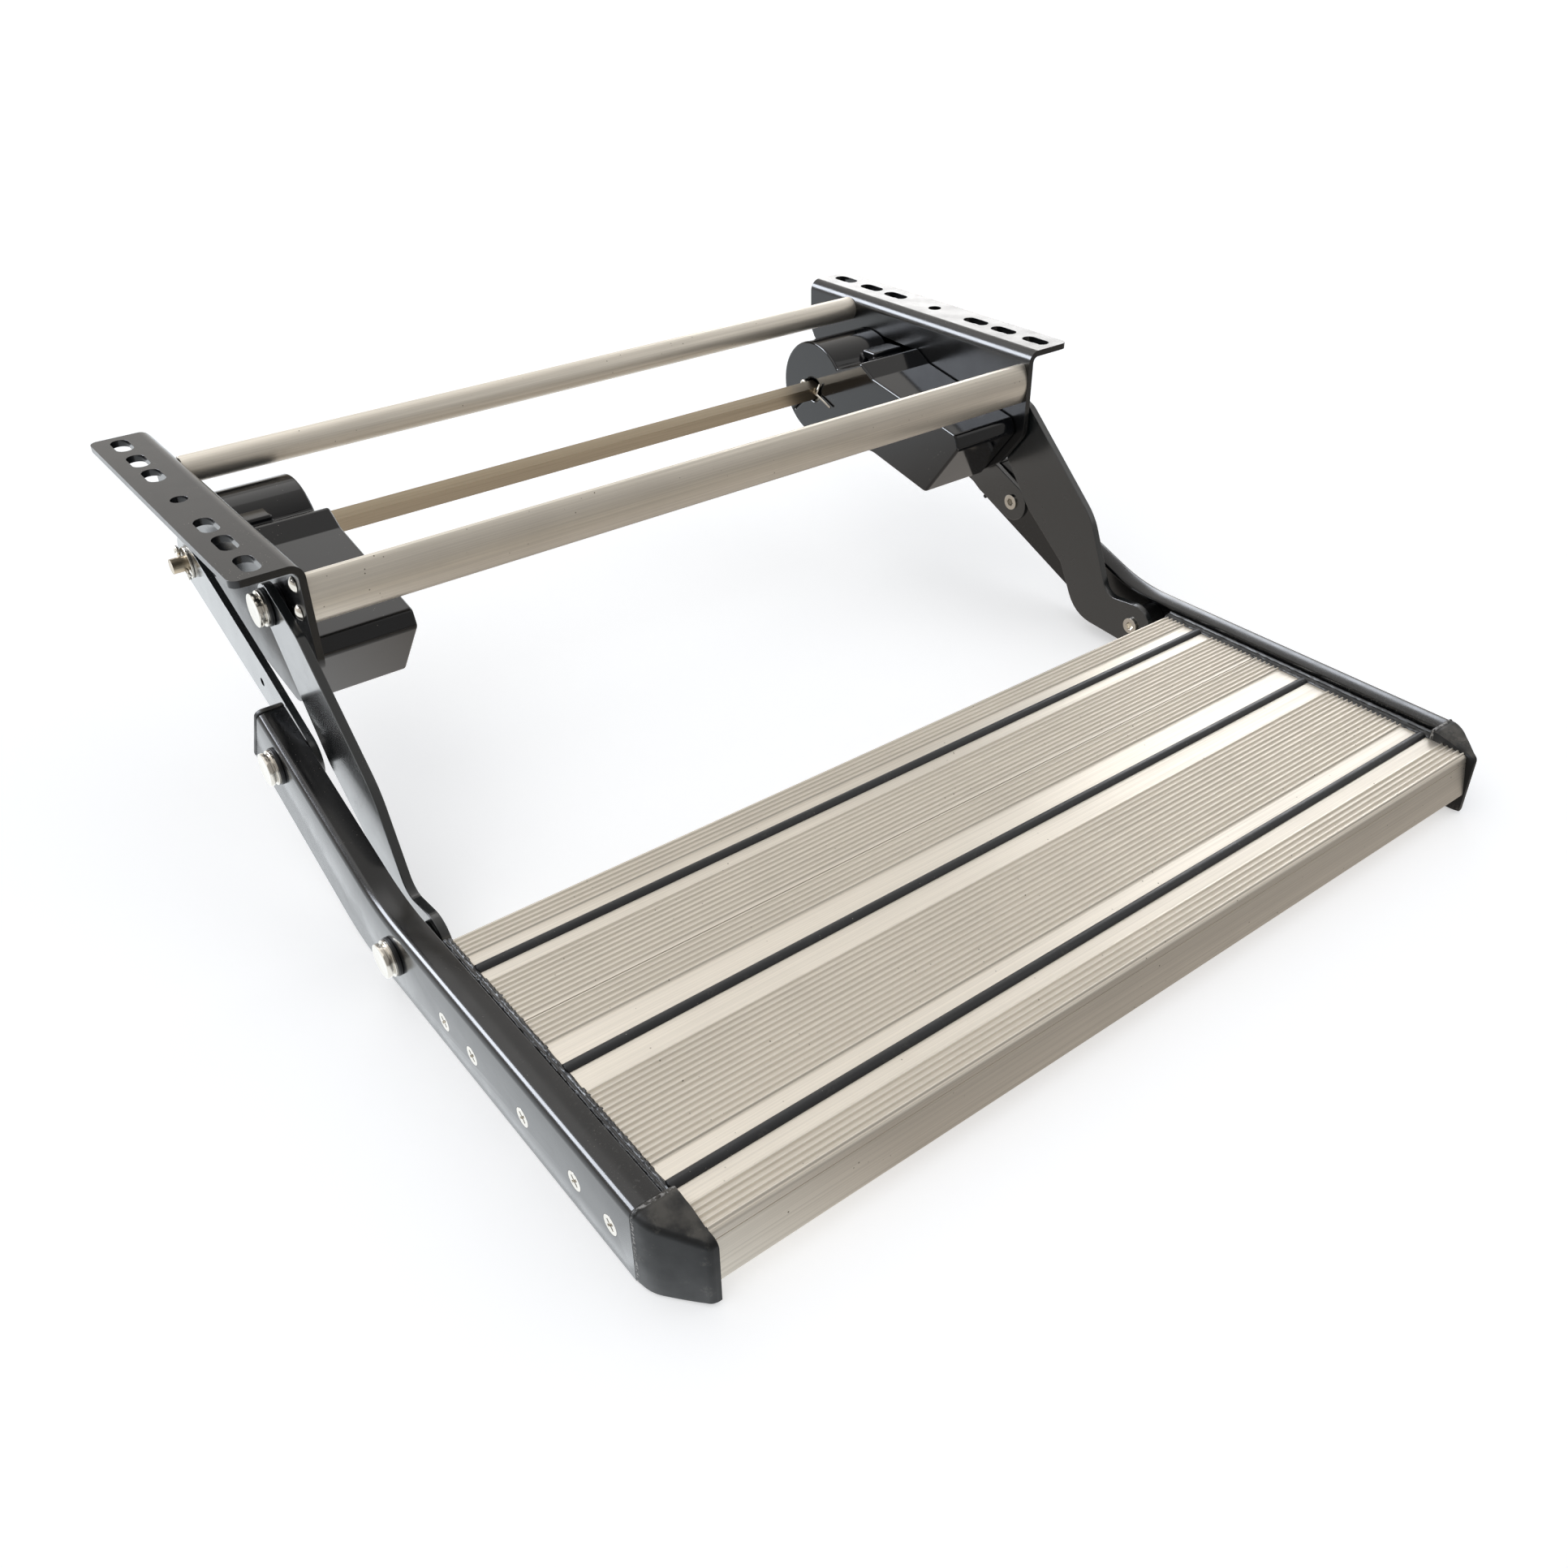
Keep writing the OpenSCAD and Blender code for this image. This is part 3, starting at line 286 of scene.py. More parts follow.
def anodised_aluminium(name, colour, roughness):
    """Extruded, satin-etched and anodised aluminium: pale, soft, with faint lengthwise die lines."""
    material, tree, place = new_material(name)
    drawn = add(tree, "Mapping", {"Vector": place, "Scale": EXTRUDED}, "Vector")
    darker = darkened(colour, 0.72)
    lines = patches(tree, drawn, DIE_LINE, 3.0, (0.35, 0.68), (0.0, 0.45))
    clouds = patches(tree, place, 45, 3.0, (0.45, 0.75), (0.0, 0.18))
    soil = specks(tree, place, 5.5, 0.09, 30, 0.5)
    tint = layered(tree, colour, (darker, lines), (darker, clouds), (DECK_SOIL, *soil))
    gloss = patches(tree, drawn, DIE_LINE, 3.0, (0.3, 0.7), (roughness - 0.04, roughness + 0.06))
    uneven = relief(tree, drawn, DIE_LINE, 3.0, 0.10, 0.03)
    uneven = relief(tree, place, ETCH, 2.0, 0.06, 0.02, uneven)
    close(tree, Base_Color=tint, Metallic=0.85, Roughness=gloss, Normal=uneven)
    return material


def moulded(name, colour, roughness, grain_mm, grain, scuff,
            wave=0.0, seam=None, top_sheen_and_dust=0.0, index=1.5):
    """Moulded polymer: even colour, a fine mould grain, pale scuffs, and a paler top where it is
    level, painted sheen partly dust.
    """
    dust_and_sheen = bpy.context.scene.step_colours.dust_and_sheen
    material, tree, place = new_material(name)
    rubbed = patches(tree, place, 11, 5.0, (0.56, 0.72), (0.0, scuff))
    scratched = patches(tree, place, 1.3, 2.0, (0.4, 0.65), (0.0, 1.0))
    layers = [(dust_and_sheen, rubbed, scratched), (dust_and_sheen, *specks(tree, place, 3.4, 0.09, 25, 0.52))]
    # Painted sheen on level tops, partly dust: the dust colour laid where the surface faces up
    if top_sheen_and_dust:
        cloudy = patches(tree, place, 9, 4.0, (0.38, 0.62), (0.15, 1.0))
        layers.append((dust_and_sheen, facing_up(tree, (0.80, 0.97), top_sheen_and_dust), cloudy))
    if seam:
        broken = patches(tree, place, 1.5, 3.0, (0.45, 0.58), (0.0, 0.9))
        layers.append((SEAM_FLASH, band(tree, place, seam, 0.4, 1.1), broken))
    tint = layered(tree, colour, *layers)
    gloss = patches(tree, place, 16, 3.0, (0.3, 0.7), (0.85 * roughness, 1.2 * roughness))
    uneven = relief(tree, place, grain_mm, 2.0, grain, 0.04)
    if wave:
        uneven = relief(tree, place, 22, 1.0, wave, 0.6, uneven)
    close(tree, Base_Color=tint, Roughness=gloss, Normal=uneven, IOR=index)
    return material


def metal(name, colour, roughness, streak, soil, marks):
    """Bare or plated steel: bright, with fine turning or drawing marks and a little grime."""
    material, tree, place = new_material(name)
    drawn = add(tree, "Mapping", {"Vector": place, "Scale": streak}, "Vector")
    lines = patches(tree, drawn, TURNING_MARK, 4.0, (0.4, 0.72), (0.0, 3 * marks))
    grime = patches(tree, drawn, 7, 3.0, (0.5, 0.75), (0.0, soil))
    tint = layered(tree, colour, (darkened(colour, 0.55), lines), (METAL_GRIME, grime))
    level = (roughness - 0.02, roughness + 0.04)
    gloss = patches(tree, drawn, TURNING_MARK, 4.0, (0.3, 0.7), level)
    uneven = relief(tree, drawn, TURNING_MARK, 4.0, marks, 0.03)
    close(tree, Base_Color=tint, Metallic=1.0, Roughness=gloss, Normal=uneven)
    return material


# Each finish: how it is made, the material's name, its colour, and how it differs from its kind
RECIPES = {
    # Stoved gloss enamel: near-black, mirroring the surroundings, with grey dust on level faces
    "enamel": (coated_steel, "black_enamel_steel", "enamel", dict(
        roughness=0.22, peel=0.12, dusting=0.8, chips=1.0)),
    # The same enamel, smoother and wiped clean: a sharp line of light along the rails' bends
    "rail_enamel": (coated_steel, "satin_black_enamel_steel", "enamel", dict(
        roughness=0.19, peel=0.10, dusting=0.4, chips=0.3)),
    # Powder coat under a lacquer: charcoal with a soft sheen at a flat angle
    "powder": (coated_steel, "black_powder_coated_steel", "powder", dict(
        roughness=0.24, peel=0.05, dusting=0.3, chips=0.4, lacquer=0.8)),
    # Satin anodising: warm and pale, with wide soft reflections
    "anodised": (anodised_aluminium, "champagne_anodised_aluminium", "anodised", dict(
        roughness=0.44)),
    # Extruded rubber: dull black with a soft light along its crown
    "rubber": (moulded, "extruded_black_rubber", "rubber", dict(
        roughness=0.38, grain_mm=0.9, grain=0.25, scuff=0.10)),
    # ABS from a polished mould: glassy black whose reflections waver a little
    "gloss": (moulded, "gloss_moulded_abs", "gloss", dict(
        roughness=0.09, grain_mm=1.8, grain=0.03, scuff=0.02, wave=0.10)),
    # Polypropylene from a satin mould: dull black, paler on top from painted sheen and dust, with
    # pale flash at the rail
    "cap": (moulded, "satin_moulded_polypropylene", "cap", dict(
        roughness=0.46, grain_mm=0.8, grain=0.40, scuff=0.35,
        seam=SEAM_Y, top_sheen_and_dust=0.28, index=1.38)),
    # Elastomer run in by hand: satin black and lumpy
    "trim": (moulded, "black_elastomer_sealant", "trim", dict(
        roughness=0.34, grain_mm=1.2, grain=0.8, scuff=0.25)),
    # Nickel plating: bright and slightly warm, nearly a mirror
    "plating": (metal, "nickel_plated_steel", "plating", dict(
        roughness=0.17, streak=EVEN, soil=0.10, marks=0.015)),
    # Drawn steel: brownish grey with lines along the shaft
    "shaft": (metal, "bright_drawn_steel", "shaft", dict(
        roughness=0.30, streak=DRAWN, soil=0.30, marks=0.10)),
    # Oiled wire: dark grey with blurred light along the coils
    "spring": (metal, "oiled_spring_wire", "spring", dict(
        roughness=0.35, streak=EVEN, soil=0.3, marks=0.05)),
    # Turned nylon: smooth dull black
    "black_nylon": (moulded, "black_nylon", "black_nylon", dict(
        roughness=0.40, grain_mm=1.0, grain=0.2, scuff=0.10)),
    # Undyed nylon: milky and dull
    "natural_nylon": (moulded, "natural_nylon", "natural_nylon", dict(
        roughness=0.45, grain_mm=1.0, grain=0.2, scuff=0.05)),
}
FINISHES = {}


def finish(name):
    """The named finish, made once."""
    if name not in FINISHES:
        make, material_name, colour_name, values = RECIPES[name]
        colour = getattr(bpy.context.scene.step_colours, colour_name)
        FINISHES[name] = make(material_name, colour, **values)
    return FINISHES[name]


# Shapes

# Nearer points become one, faces within an angle become one, and sharper edges are rounded
WELD_REACH = 2e-6
FLAT_ANGLE = math.radians(1.0)
EDGE_ANGLE = math.radians(40)


def dress(node, finish_name, edge=None, segments=3, clamp=True):
    """Gives a CAD node its finish, and rounds its sharp edges by the named size."""
    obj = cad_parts[node]
    obj.data.materials.clear()
    obj.data.materials.append(finish(finish_name))
    weld = obj.modifiers.new("weld", "WELD")
    weld.merge_threshold = WELD_REACH
    flat = obj.modifiers.new("flatten", "DECIMATE")
    flat.decimate_type = "DISSOLVE"
    flat.angle_limit = FLAT_ANGLE
    if edge:
        bevel = obj.modifiers.new("edges", "BEVEL")
        bevel.width = getattr(bpy.context.scene.step_sizes, edge)
        bevel.segments = segments
        bevel.use_clamp_overlap = clamp
        bevel.limit_method = "ANGLE"
        bevel.angle_limit = EDGE_ANGLE
    obj.modifiers.new("shade", "WEIGHTED_NORMAL")


def mesh_object(name, parts):
    """An object from (points in mm, faces) parts, with its normals outward."""
    solid = bmesh.new()
    for points, faces in parts:
        verts = [solid.verts.new(Vector(p) * MM) for p in points]
        for face in faces:
            solid.faces.new([verts[i] for i in face])
    bmesh.ops.recalc_face_normals(solid, faces=solid.faces)
    mesh = bpy.data.meshes.new(name)
    solid.to_mesh(mesh)
    solid.free()
    obj = bpy.data.objects.new(name, mesh)
    bpy.context.scene.collection.objects.link(obj)
    return obj


def stand_in(obj, nodes, body, finish_name, sharp):
    """Lets a fine shape stand for its CAD nodes, smooth apart from edges above an angle."""
    obj.data.materials.clear()
    obj.data.materials.append(finish(finish_name))
    obj.data.shade_smooth()
    obj.data.set_sharp_from_angle(angle=math.radians(sharp))
    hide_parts(*nodes)
    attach(obj, body)


def bend(x, depth, radius, steps=8):
    """Points (X, depth) round a bend that starts level at a depth and ends upright at X."""
    angles = [math.radians(90 * k / steps) for k in range(steps + 1)]
    return [(x - radius + radius * math.sin(a), depth + radius * (1 - math.cos(a)))
            for a in angles]


def rounded(corners, steps=6):
    """An outline of (across, up, radius) corners, with each corner rounded off."""
    outline = []
    for i, (across, up, radius) in enumerate(corners):
        here = Vector((across, up))
        if radius == 0:
            outline.append(here)
            continue
        back = (Vector(corners[i - 1][:2]) - here).normalized()
        on = (Vector(corners[(i + 1) % len(corners)][:2]) - here).normalized()
        half = back.angle(on) / 2
        middle = here + (back + on).normalized() * radius / math.sin(half)
        start = here + back * radius / math.tan(half) - middle
        end = here + on * radius / math.tan(half) - middle
        first = math.atan2(start.y, start.x)
        turn = (math.atan2(end.y, end.x) - first + 3 * math.pi) % (2 * math.pi) - math.pi
        for k in range(steps + 1):
            angle = first + turn * k / steps
            outline.append(middle + radius * Vector((math.cos(angle), math.sin(angle))))
    return outline


def inset(outline, by):
    """An outline with each point moved inward, or outward where by is negative."""
    moved = []
    for i, here in enumerate(outline):
        back = (outline[i - 1] - here).normalized()
        on = (outline[(i + 1) % len(outline)] - here).normalized()
        normal = Vector((-on.y + back.y, on.x - back.x)).normalized()
        across = Vector((-on.y, on.x))
        moved.append(here + normal * by / max(0.5, normal.dot(across)))
    return moved


def faces_between(rings, count):
    """Faces between rings of the same number of points."""
    faces = []
    for near in range(0, (rings - 1) * count, count):
        far = near + count
        for k in range(count):
            n = (k + 1) % count
            faces.append([near + k, near + n, far + n, far + k])
    return faces


def loft(sections, side=1):
    """A closed part for one side, from sections with the same number of points."""
    count = len(sections[0])
    points = [(side * x, y, z) for section in sections for x, y, z in section]
    ends = [list(range(count)), list(range(len(points) - count, len(points)))]
    return points, ends + faces_between(len(sections), count)


def prism(outline, x_from, x_to):
    """A closed part with one outline in Y and Z from one X to another."""
    return loft([[(x, y, z) for y, z in outline] for x in (x_from, x_to)])


def turned(profile, centre, side, steps=64):
    """A part turned about X from (x, radius) points that start and end on its axis."""
    rings = profile[1:-1]
    points = [(side * x, centre[0] + r * math.cos(a), centre[1] + r * math.sin(a))
              for x, r in rings for a in (2 * math.pi * k / steps for k in range(steps))]
    points += [(side * profile[0][0], *centre), (side * profile[-1][0], *centre)]
    faces = faces_between(len(rings), steps)
    last, last_ring = len(points) - 1, (len(rings) - 1) * steps
    for k in range(steps):
        n = (k + 1) % steps
        faces.append([last - 1, n, k])
        faces.append([last, last_ring + k, last_ring + n])
    return points, faces


def cut(obj, parts):
    """Takes parts out of an object for good."""
    cutter = mesh_object("cutter", parts)
    modifier = obj.modifiers.new("cut", "BOOLEAN")
    modifier.operation = "DIFFERENCE"
    modifier.solver = "EXACT"
    modifier.object = cutter
    bpy.context.view_layer.update()
    depsgraph = bpy.context.evaluated_depsgraph_get()
    mesh = bpy.data.meshes.new_from_object(obj.evaluated_get(depsgraph))
    obj.modifiers.clear()
    obj.data = mesh
    bpy.data.objects.remove(cutter)


def ripple(across, along, size_mm, seed=0.0):
    """Smooth noise from about -1 to 1 over a distance in millimetres."""
    return 2 * noise.noise(Vector((across / size_mm, along / size_mm, seed)))


# Fixed frame and screws


class STEP_OT_brackets(bpy.types.Operator):
    """Black enamel and softened cut edges for the two mounting brackets."""

    bl_idname = "step.brackets"
    bl_label = "Brackets"

    def execute(self, context):
        for side in SIDES:
            dress(f"{side}_bracket", "enamel", "plate_edge")
        return {"FINISHED"}


class STEP_OT_cross_members(bpy.types.Operator):
    """Anodised finish for the rear cross tube and the arched front bar."""

    bl_idname = "step.cross_members"
    bl_label = "Cross members"

    def execute(self, context):
        dress("rear_cross_tube", "anodised")
        dress("front_cross_bar", "anodised")
        return {"FINISHED"}


class STEP_OT_screws(bpy.types.Operator):
    """Plating for the domed screws of the front bar and the countersunk ones of the rails."""

    bl_idname = "step.screws"
    bl_label = "Screws"

    def execute(self, context):
        dress("cross_bar_screws", "plating")
        for side in SIDES:
            dress(f"{side}_rail_screws", "plating", "screw_edge", segments=2)
        return {"FINISHED"}


class STEP_OT_spring_covers(bpy.types.Operator):
    """Glossy plastic and rounded rims for the two spring covers."""

    bl_idname = "step.spring_covers"
    bl_label = "Spring covers"

    def execute(self, context):
        for side in SIDES:
            dress(f"{side}_spring_cover", "gloss", "cover_edge", segments=4, clamp=False)
        return {"FINISHED"}


class STEP_OT_springs(bpy.types.Operator):
    """Finishes for the torsion springs, their hubs and their anchor pins."""

    bl_idname = "step.springs"
    bl_label = "Springs"

    def execute(self, context):
        for side in SIDES:
            dress(f"{side}_torsion_spring", "spring")
        dress("spring_hubs", "natural_nylon", "small_edge")
        dress("spring_anchor_pins", "enamel", "small_edge")
        return {"FINISHED"}


# Pivots

# The head's turned neck under its rim, and the recess of its face
NECK_RADIUS, NECK_HEIGHT, FACE_RECESS = 8.1, 1.2, 0.18


def pin_profile(tip, outer):
    """A pivot pin from its tip to its outer face, as (X, radius) points."""
    head = outer - HEAD_HEIGHT
    return [
        (tip, 0), (tip, PIN_RADIUS - 0.5), (tip + 0.5, PIN_RADIUS), (head, PIN_RADIUS),
        (head, NECK_RADIUS), (head + NECK_HEIGHT, NECK_RADIUS),
        (head + NECK_HEIGHT + 0.15, HEAD_RADIUS - 0.3), (head + NECK_HEIGHT + 0.4, HEAD_RADIUS),
        (outer - 0.6, HEAD_RADIUS), (outer - 0.25, HEAD_RADIUS - 0.12),
        (outer - 0.05, HEAD_RADIUS - 0.5), (outer, HEAD_RADIUS - 0.9),
        (outer - 0.04, HEAD_RADIUS - 1.6), (outer - FACE_RECESS + 0.02, 4.0),
        (outer - FACE_RECESS, 1.0), (outer - FACE_RECESS, 0),
    ]


class STEP_OT_pivot_pins(bpy.types.Operator):
    """Turned pivot pins, whose heads have a neck, a rim and a slightly dished face."""

    bl_idname = "step.pivot_pins"
    bl_label = "Pivot pins"

    def execute(self, context):
        pins = {
            "upper_pivot_pins": (FRONT_TOP, "frame"),
            "front_foot_pivot_pins": (FRONT_FOOT, "tread"),
            "rear_foot_pivot_pins": (REAR_FOOT, "tread"),
        }
        for name, (centre, body) in pins.items():
            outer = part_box(name)[1].x / MM
            tip = min(v.co.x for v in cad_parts[name].data.vertices if v.co.x > 0) / MM
            profile = pin_profile(tip, outer)
            pair = mesh_object(f"turned_{name}", [turned(profile, centre, s) for s in (-1, 1)])
            stand_in(pair, [name], body, "plating", sharp=28)
        return {"FINISHED"}


class STEP_OT_pivot_nuts(bpy.types.Operator):
    """Plating and softened rims for the pivots' nuts."""

    bl_idname = "step.pivot_nuts"
    bl_label = "Pivot nuts"

    def execute(self, context):
        for name in ("upper_pivot_nuts", "front_foot_pivot_nuts", "rear_link_pivot_nuts"):
            dress(name, "plating", "small_edge")
        return {"FINISHED"}


class STEP_OT_washers(bpy.types.Operator):
    """Finishes for the steel and nylon washers and the spacers of all pivots."""

    bl_idname = "step.washers"
    bl_label = "Washers and spacers"

    def execute(self, context):
        for pivot in ("upper_pivot", "front_foot", "rear_foot"):
            dress(f"{pivot}_steel_washers", "plating", "small_edge")
            dress(f"{pivot}_nylon_washers", "black_nylon", "small_edge")
        for pivot in ("front_foot", "rear_foot"):
            dress(f"{pivot}_spacers", "black_nylon", "small_edge")
        return {"FINISHED"}


# Links and shaft


class STEP_OT_links(bpy.types.Operator):
    """Powder coat and softened edges for the two front and the two rear links."""

    bl_idname = "step.links"
    bl_label = "Links"

    def execute(self, context):
        for side in SIDES:
            dress(f"{side}_front_link", "powder", "link_edge")
            dress(f"{side}_rear_link", "powder", "link_edge")
        return {"FINISHED"}


class STEP_OT_shaft(bpy.types.Operator):
    """Drawn steel for the square shaft, and finishes for its bushes and end washers."""

    bl_idname = "step.shaft"
    bl_label = "Shaft"

    def execute(self, context):
        dress("square_shaft", "shaft", "plate_edge")
        dress("shaft_bushes", "black_nylon", "small_edge")
        dress("shaft_end_washers", "plating", "small_edge")
        return {"FINISHED"}


class STEP_OT_split_pins(bpy.types.Operator):
    """Plated wire for the split pins at the shaft's ends and at the covers."""

    bl_idname = "step.split_pins"
    bl_label = "Split pins"

    def execute(self, context):
        dress("shaft_end_split_pins", "plating")
        dress("cover_split_pins", "plating")
        return {"FINISHED"}


# Side rails and their caps

# Down along the rails' raised ends, out of them, and the way of their upper and lower edges
END_DOWN = (RAIL_LOW_END - RAIL_HIGH_END).normalized()
END_OUT = Vector((-END_DOWN.y, END_DOWN.x))
TOP_WAY = (RAIL_HIGH_END - Vector(TOP_BEND[:2])).normalized()
LOW_WAY = (RAIL_LOW_END - Vector(BOTTOM_BEND[:2])).normalized()
RAIL_EDGE = 0.7
SCREW_HOLE, SINK_RADIUS, SINK_DEPTH = 2.3, 5.35, 2.6


def bent_edge(front, bend, rear, inward, end_line, steps=16):
    """Points along a rail's edge, each with the offset that leads 1 mm into the rail."""
    line = rounded([(*front, 0), bend, (*rear, 0)], steps)
    stations = []
    for i, point in enumerate(line):
        along = (line[min(i + 1, len(line) - 1)] - line[max(i - 1, 0)]).normalized()
        offset = inward * Vector((-along.y, along.x))
        if i == len(line) - 1:
            offset = end_line / end_line.dot(offset)
        stations.append((point, offset))
    return stations


def rail_section(top, bottom, corner):
    """A rail's section, as points of (X, the edge that it follows, its depth from that edge)."""
    soft = RAIL_EDGE
    lip = [(RAIL_IN, top, RAIL_WALL - soft), (RAIL_IN, top, soft),
           (RAIL_IN + 0.3 * soft, top, 0.3 * soft), (RAIL_IN + soft, top, 0)]
    outer_bend = [(x, top, depth) for x, depth in bend(RAIL_OUT, 0, corner)]
    foot = [(RAIL_OUT, bottom, soft), (RAIL_OUT - 0.3 * soft, bottom, 0.3 * soft),
            (RAIL_OUT - soft, bottom, 0), (RAIL_WALL_IN + soft, bottom, 0),
            (RAIL_WALL_IN, bottom, soft)]
    inner_bend = [(x, top, depth)
                  for x, depth in reversed(bend(RAIL_WALL_IN, RAIL_WALL, corner - RAIL_WALL, 4))]
    underside = [(RAIL_IN + soft, top, RAIL_WALL),
                 (RAIL_IN + 0.3 * soft, top, RAIL_WALL - 0.3 * soft)]
    return lip + outer_bend + foot + inner_bend + underside


class STEP_OT_side_rails(bpy.types.Operator):
    """Bent-up side rails with the radius of their bend, and countersinks for the screws."""

    bl_idname = "step.side_rails"
    bl_label = "Side rails"

    def execute(self, context):
        corner = context.scene.step_sizes.rail_corner / MM
        top = bent_edge((RAIL_FRONT, RAIL_TOP), TOP_BEND, RAIL_HIGH_END, -1, END_DOWN)
        bottom = bent_edge((RAIL_FRONT, RAIL_BOTTOM), BOTTOM_BEND, RAIL_LOW_END, 1, -END_DOWN)
        section = rail_section(top, bottom, corner)
        sink = [(RAIL_WALL_IN - 2, 0), (RAIL_WALL_IN - 2, SCREW_HOLE),
                (RAIL_OUT - SINK_DEPTH, SCREW_HOLE), (RAIL_OUT + 0.2, SINK_RADIUS),
                (RAIL_OUT + 3, SINK_RADIUS), (RAIL_OUT + 3, 0)]
        rows = [[(x, *(edge[i][0] + depth * edge[i][1])) for x, edge, depth in section]
                for i in range(len(top))]
        centres = [(TREAD_REAR - setback, SCREW_Z) for setback in SCREW_SETBACKS]
        for name, side in SIDES.items():
            rail = mesh_object(f"bent_{name}_side_rail", [loft(rows, side)])
            cut(rail, [turned(sink, centre, side, 40) for centre in centres])
            stand_in(rail, [f"{name}_side_rail"], "tread", "rail_enamel",
                     sharp=30)
        return {"FINISHED"}


# How far a rear cap stands proud of the rail, and the thickness of its L
REAR_CAP_PROUD, REAR_CAP_LEG = 0.3, 4.5
# The rim of a rear cap, as (distance behind the rail's end, growth of its outline)
REAR_CAP_RIM = ((0.2, -1.0), (0.5, -1.0), (0.55, -0.35), (0.75, -0.08), (1.0, 0.0), (2.5, 0.0),
                (3.1, -0.15), (3.5, -0.45), (3.75, -0.85), (3.9, -1.4))
# The plug inside the rail: its ends as distances behind the rail's end, and (X, distance down)
PLUG_ENDS = (-12.0, 0.3)
PLUG = ((RAIL_WALL_IN - 0.2, 3.3), (RAIL_WALL_IN - 0.2, 34), (RAIL_WALL_IN - 1.7, 34),
        (RAIL_WALL_IN - 1.7, 4.7), (RAIL_IN + 0.5, 4.7), (RAIL_IN + 0.5, 3.3))


def behind_end(point, way, rise):
    """A point of the rail's end, moved along an edge until it lies a distance behind the end."""
    return point + way * rise / way.dot(END_OUT)


def rear_cap_section(rise, grown, corner):
    """A rear cap's L-shaped outline at a distance behind the rail's end."""
    top = behind_end(RAIL_HIGH_END, TOP_WAY, rise)
    length = (behind_end(RAIL_LOW_END, LOW_WAY, rise) - top).dot(END_DOWN)
    proud, leg, outer = REAR_CAP_PROUD, REAR_CAP_LEG, RAIL_OUT + REAR_CAP_PROUD
    points = [(RAIL_IN, leg), (RAIL_IN, 0.4), (RAIL_IN + 0.3, -0.1), (RAIL_IN + 1.0, -proud)]
    points += bend(outer, -proud, corner)
    points += [(outer, length - 1.2), (outer - 0.35, length - 0.35), (outer - 1.2, length),
               (RAIL_OUT - leg, length), (RAIL_OUT - leg, leg)]
    return [(p.x, *(top + END_DOWN * p.y)) for p in inset([Vector(p) for p in points], -grown)]


class STEP_OT_rear_end_caps(bpy.types.Operator):
    """Caps on the rails' raised ends: a rim a little proud of the rail, and a plug inside it."""

    bl_idname = "step.rear_end_caps"
    bl_label = "Rear end caps"

    def execute(self, context):
        corner = context.scene.step_sizes.rail_corner / MM + REAR_CAP_PROUD
        rim = [rear_cap_section(rise, grown, corner) for rise, grown in REAR_CAP_RIM]
        starts = [behind_end(RAIL_HIGH_END, TOP_WAY, rise) for rise in PLUG_ENDS]
        plug = [[(x, *(start + END_DOWN * down)) for x, down in PLUG] for start in starts]
        for name, side in SIDES.items():
            cap = mesh_object(f"moulded_{name}_rear_end_cap", [loft(rim, side), loft(plug, side)])
            stand_in(cap, [f"{name}_rear_end_cap"], "tread", "cap", sharp=40)
        return {"FINISHED"}


# The corner caps' level part at the rail, and the depth and curve of the slope in front of it
CAP_LEVEL_END = RAIL_FRONT - 4
CAP_SLOPE_DROP, CAP_SLOPE_CURVE = 6.2, 1.15
# Width, height and unevenness of the bead on their seam, and the radius of their front edge
BEAD_WIDTH, BEAD_HEIGHT, BEAD_WANDER = 0.8, 0.45, 0.55
CAP_NOSE_RADIUS = 2.5


def outer_curve():
    """Plan of a corner cap's outer side, as (y, x) from the rail to the front."""
    plan = rounded([
        (PAST_RIBS, CAP_REAR, 0), (PAST_RIBS, CAP_FRONT, 1), (RIB_END + 4, CAP_FRONT, 4),
        (RAIL_OUT - 1.5, CAP_FRONT + 20, 18), (RAIL_OUT, CAP_REAR, 0)], 10)
    outer = [p for p in plan if p.x > RIB_END + 2]
    return sorted(((p.y, p.x) for p in outer), reverse=True)


def along_curve(curve, y):
    """X of a plan curve at a Y between its ends."""
    for (y_a, x_a), (y_b, x_b) in zip(curve, curve[1:]):
        if y_b <= y <= y_a:
            share = 0 if y_a == y_b else (y_a - y) / (y_a - y_b)
            return x_a + share * (x_b - x_a)
    return curve[0][1] if y > curve[0][0] else curve[-1][1]


def cap_height(x, y, side):
    """Height of a corner cap's top: a rough seam at the rail, then a slope to the front."""
    drop = max(0.0, CAP_LEVEL_END - y) / (CAP_LEVEL_END - CAP_FRONT)
    height = RAIL_TOP + 0.1 - CAP_SLOPE_DROP * drop ** CAP_SLOPE_CURVE
    rough = BEAD_HEIGHT + BEAD_WANDER * ripple(x, y, 1.7, side)
    bead = math.exp(-(((y - SEAM_Y) / BEAD_WIDTH) ** 2)) * rough
    front = max(0.0, CAP_NOSE_RADIUS - (y - CAP_FRONT))
    nose = CAP_NOSE_RADIUS - math.sqrt(max(0.0, CAP_NOSE_RADIUS**2 - front**2))
    return height + bead + 0.10 * ripple(x, y, 5, side + 3) - nose


def cap_stations(curve):
    """Y of each section of a corner cap: close together at the seam and round the front."""
    places = [CAP_REAR - 0.35 * i for i in range(12)]
    spaced = [places[-1] - 0.8 * i for i in range(1, 30)]
    places += [y for y in spaced if y > CAP_FRONT + 2.4]
    last = places[-1]
    return places + [y for y, x in curve if y < last - 0.2]


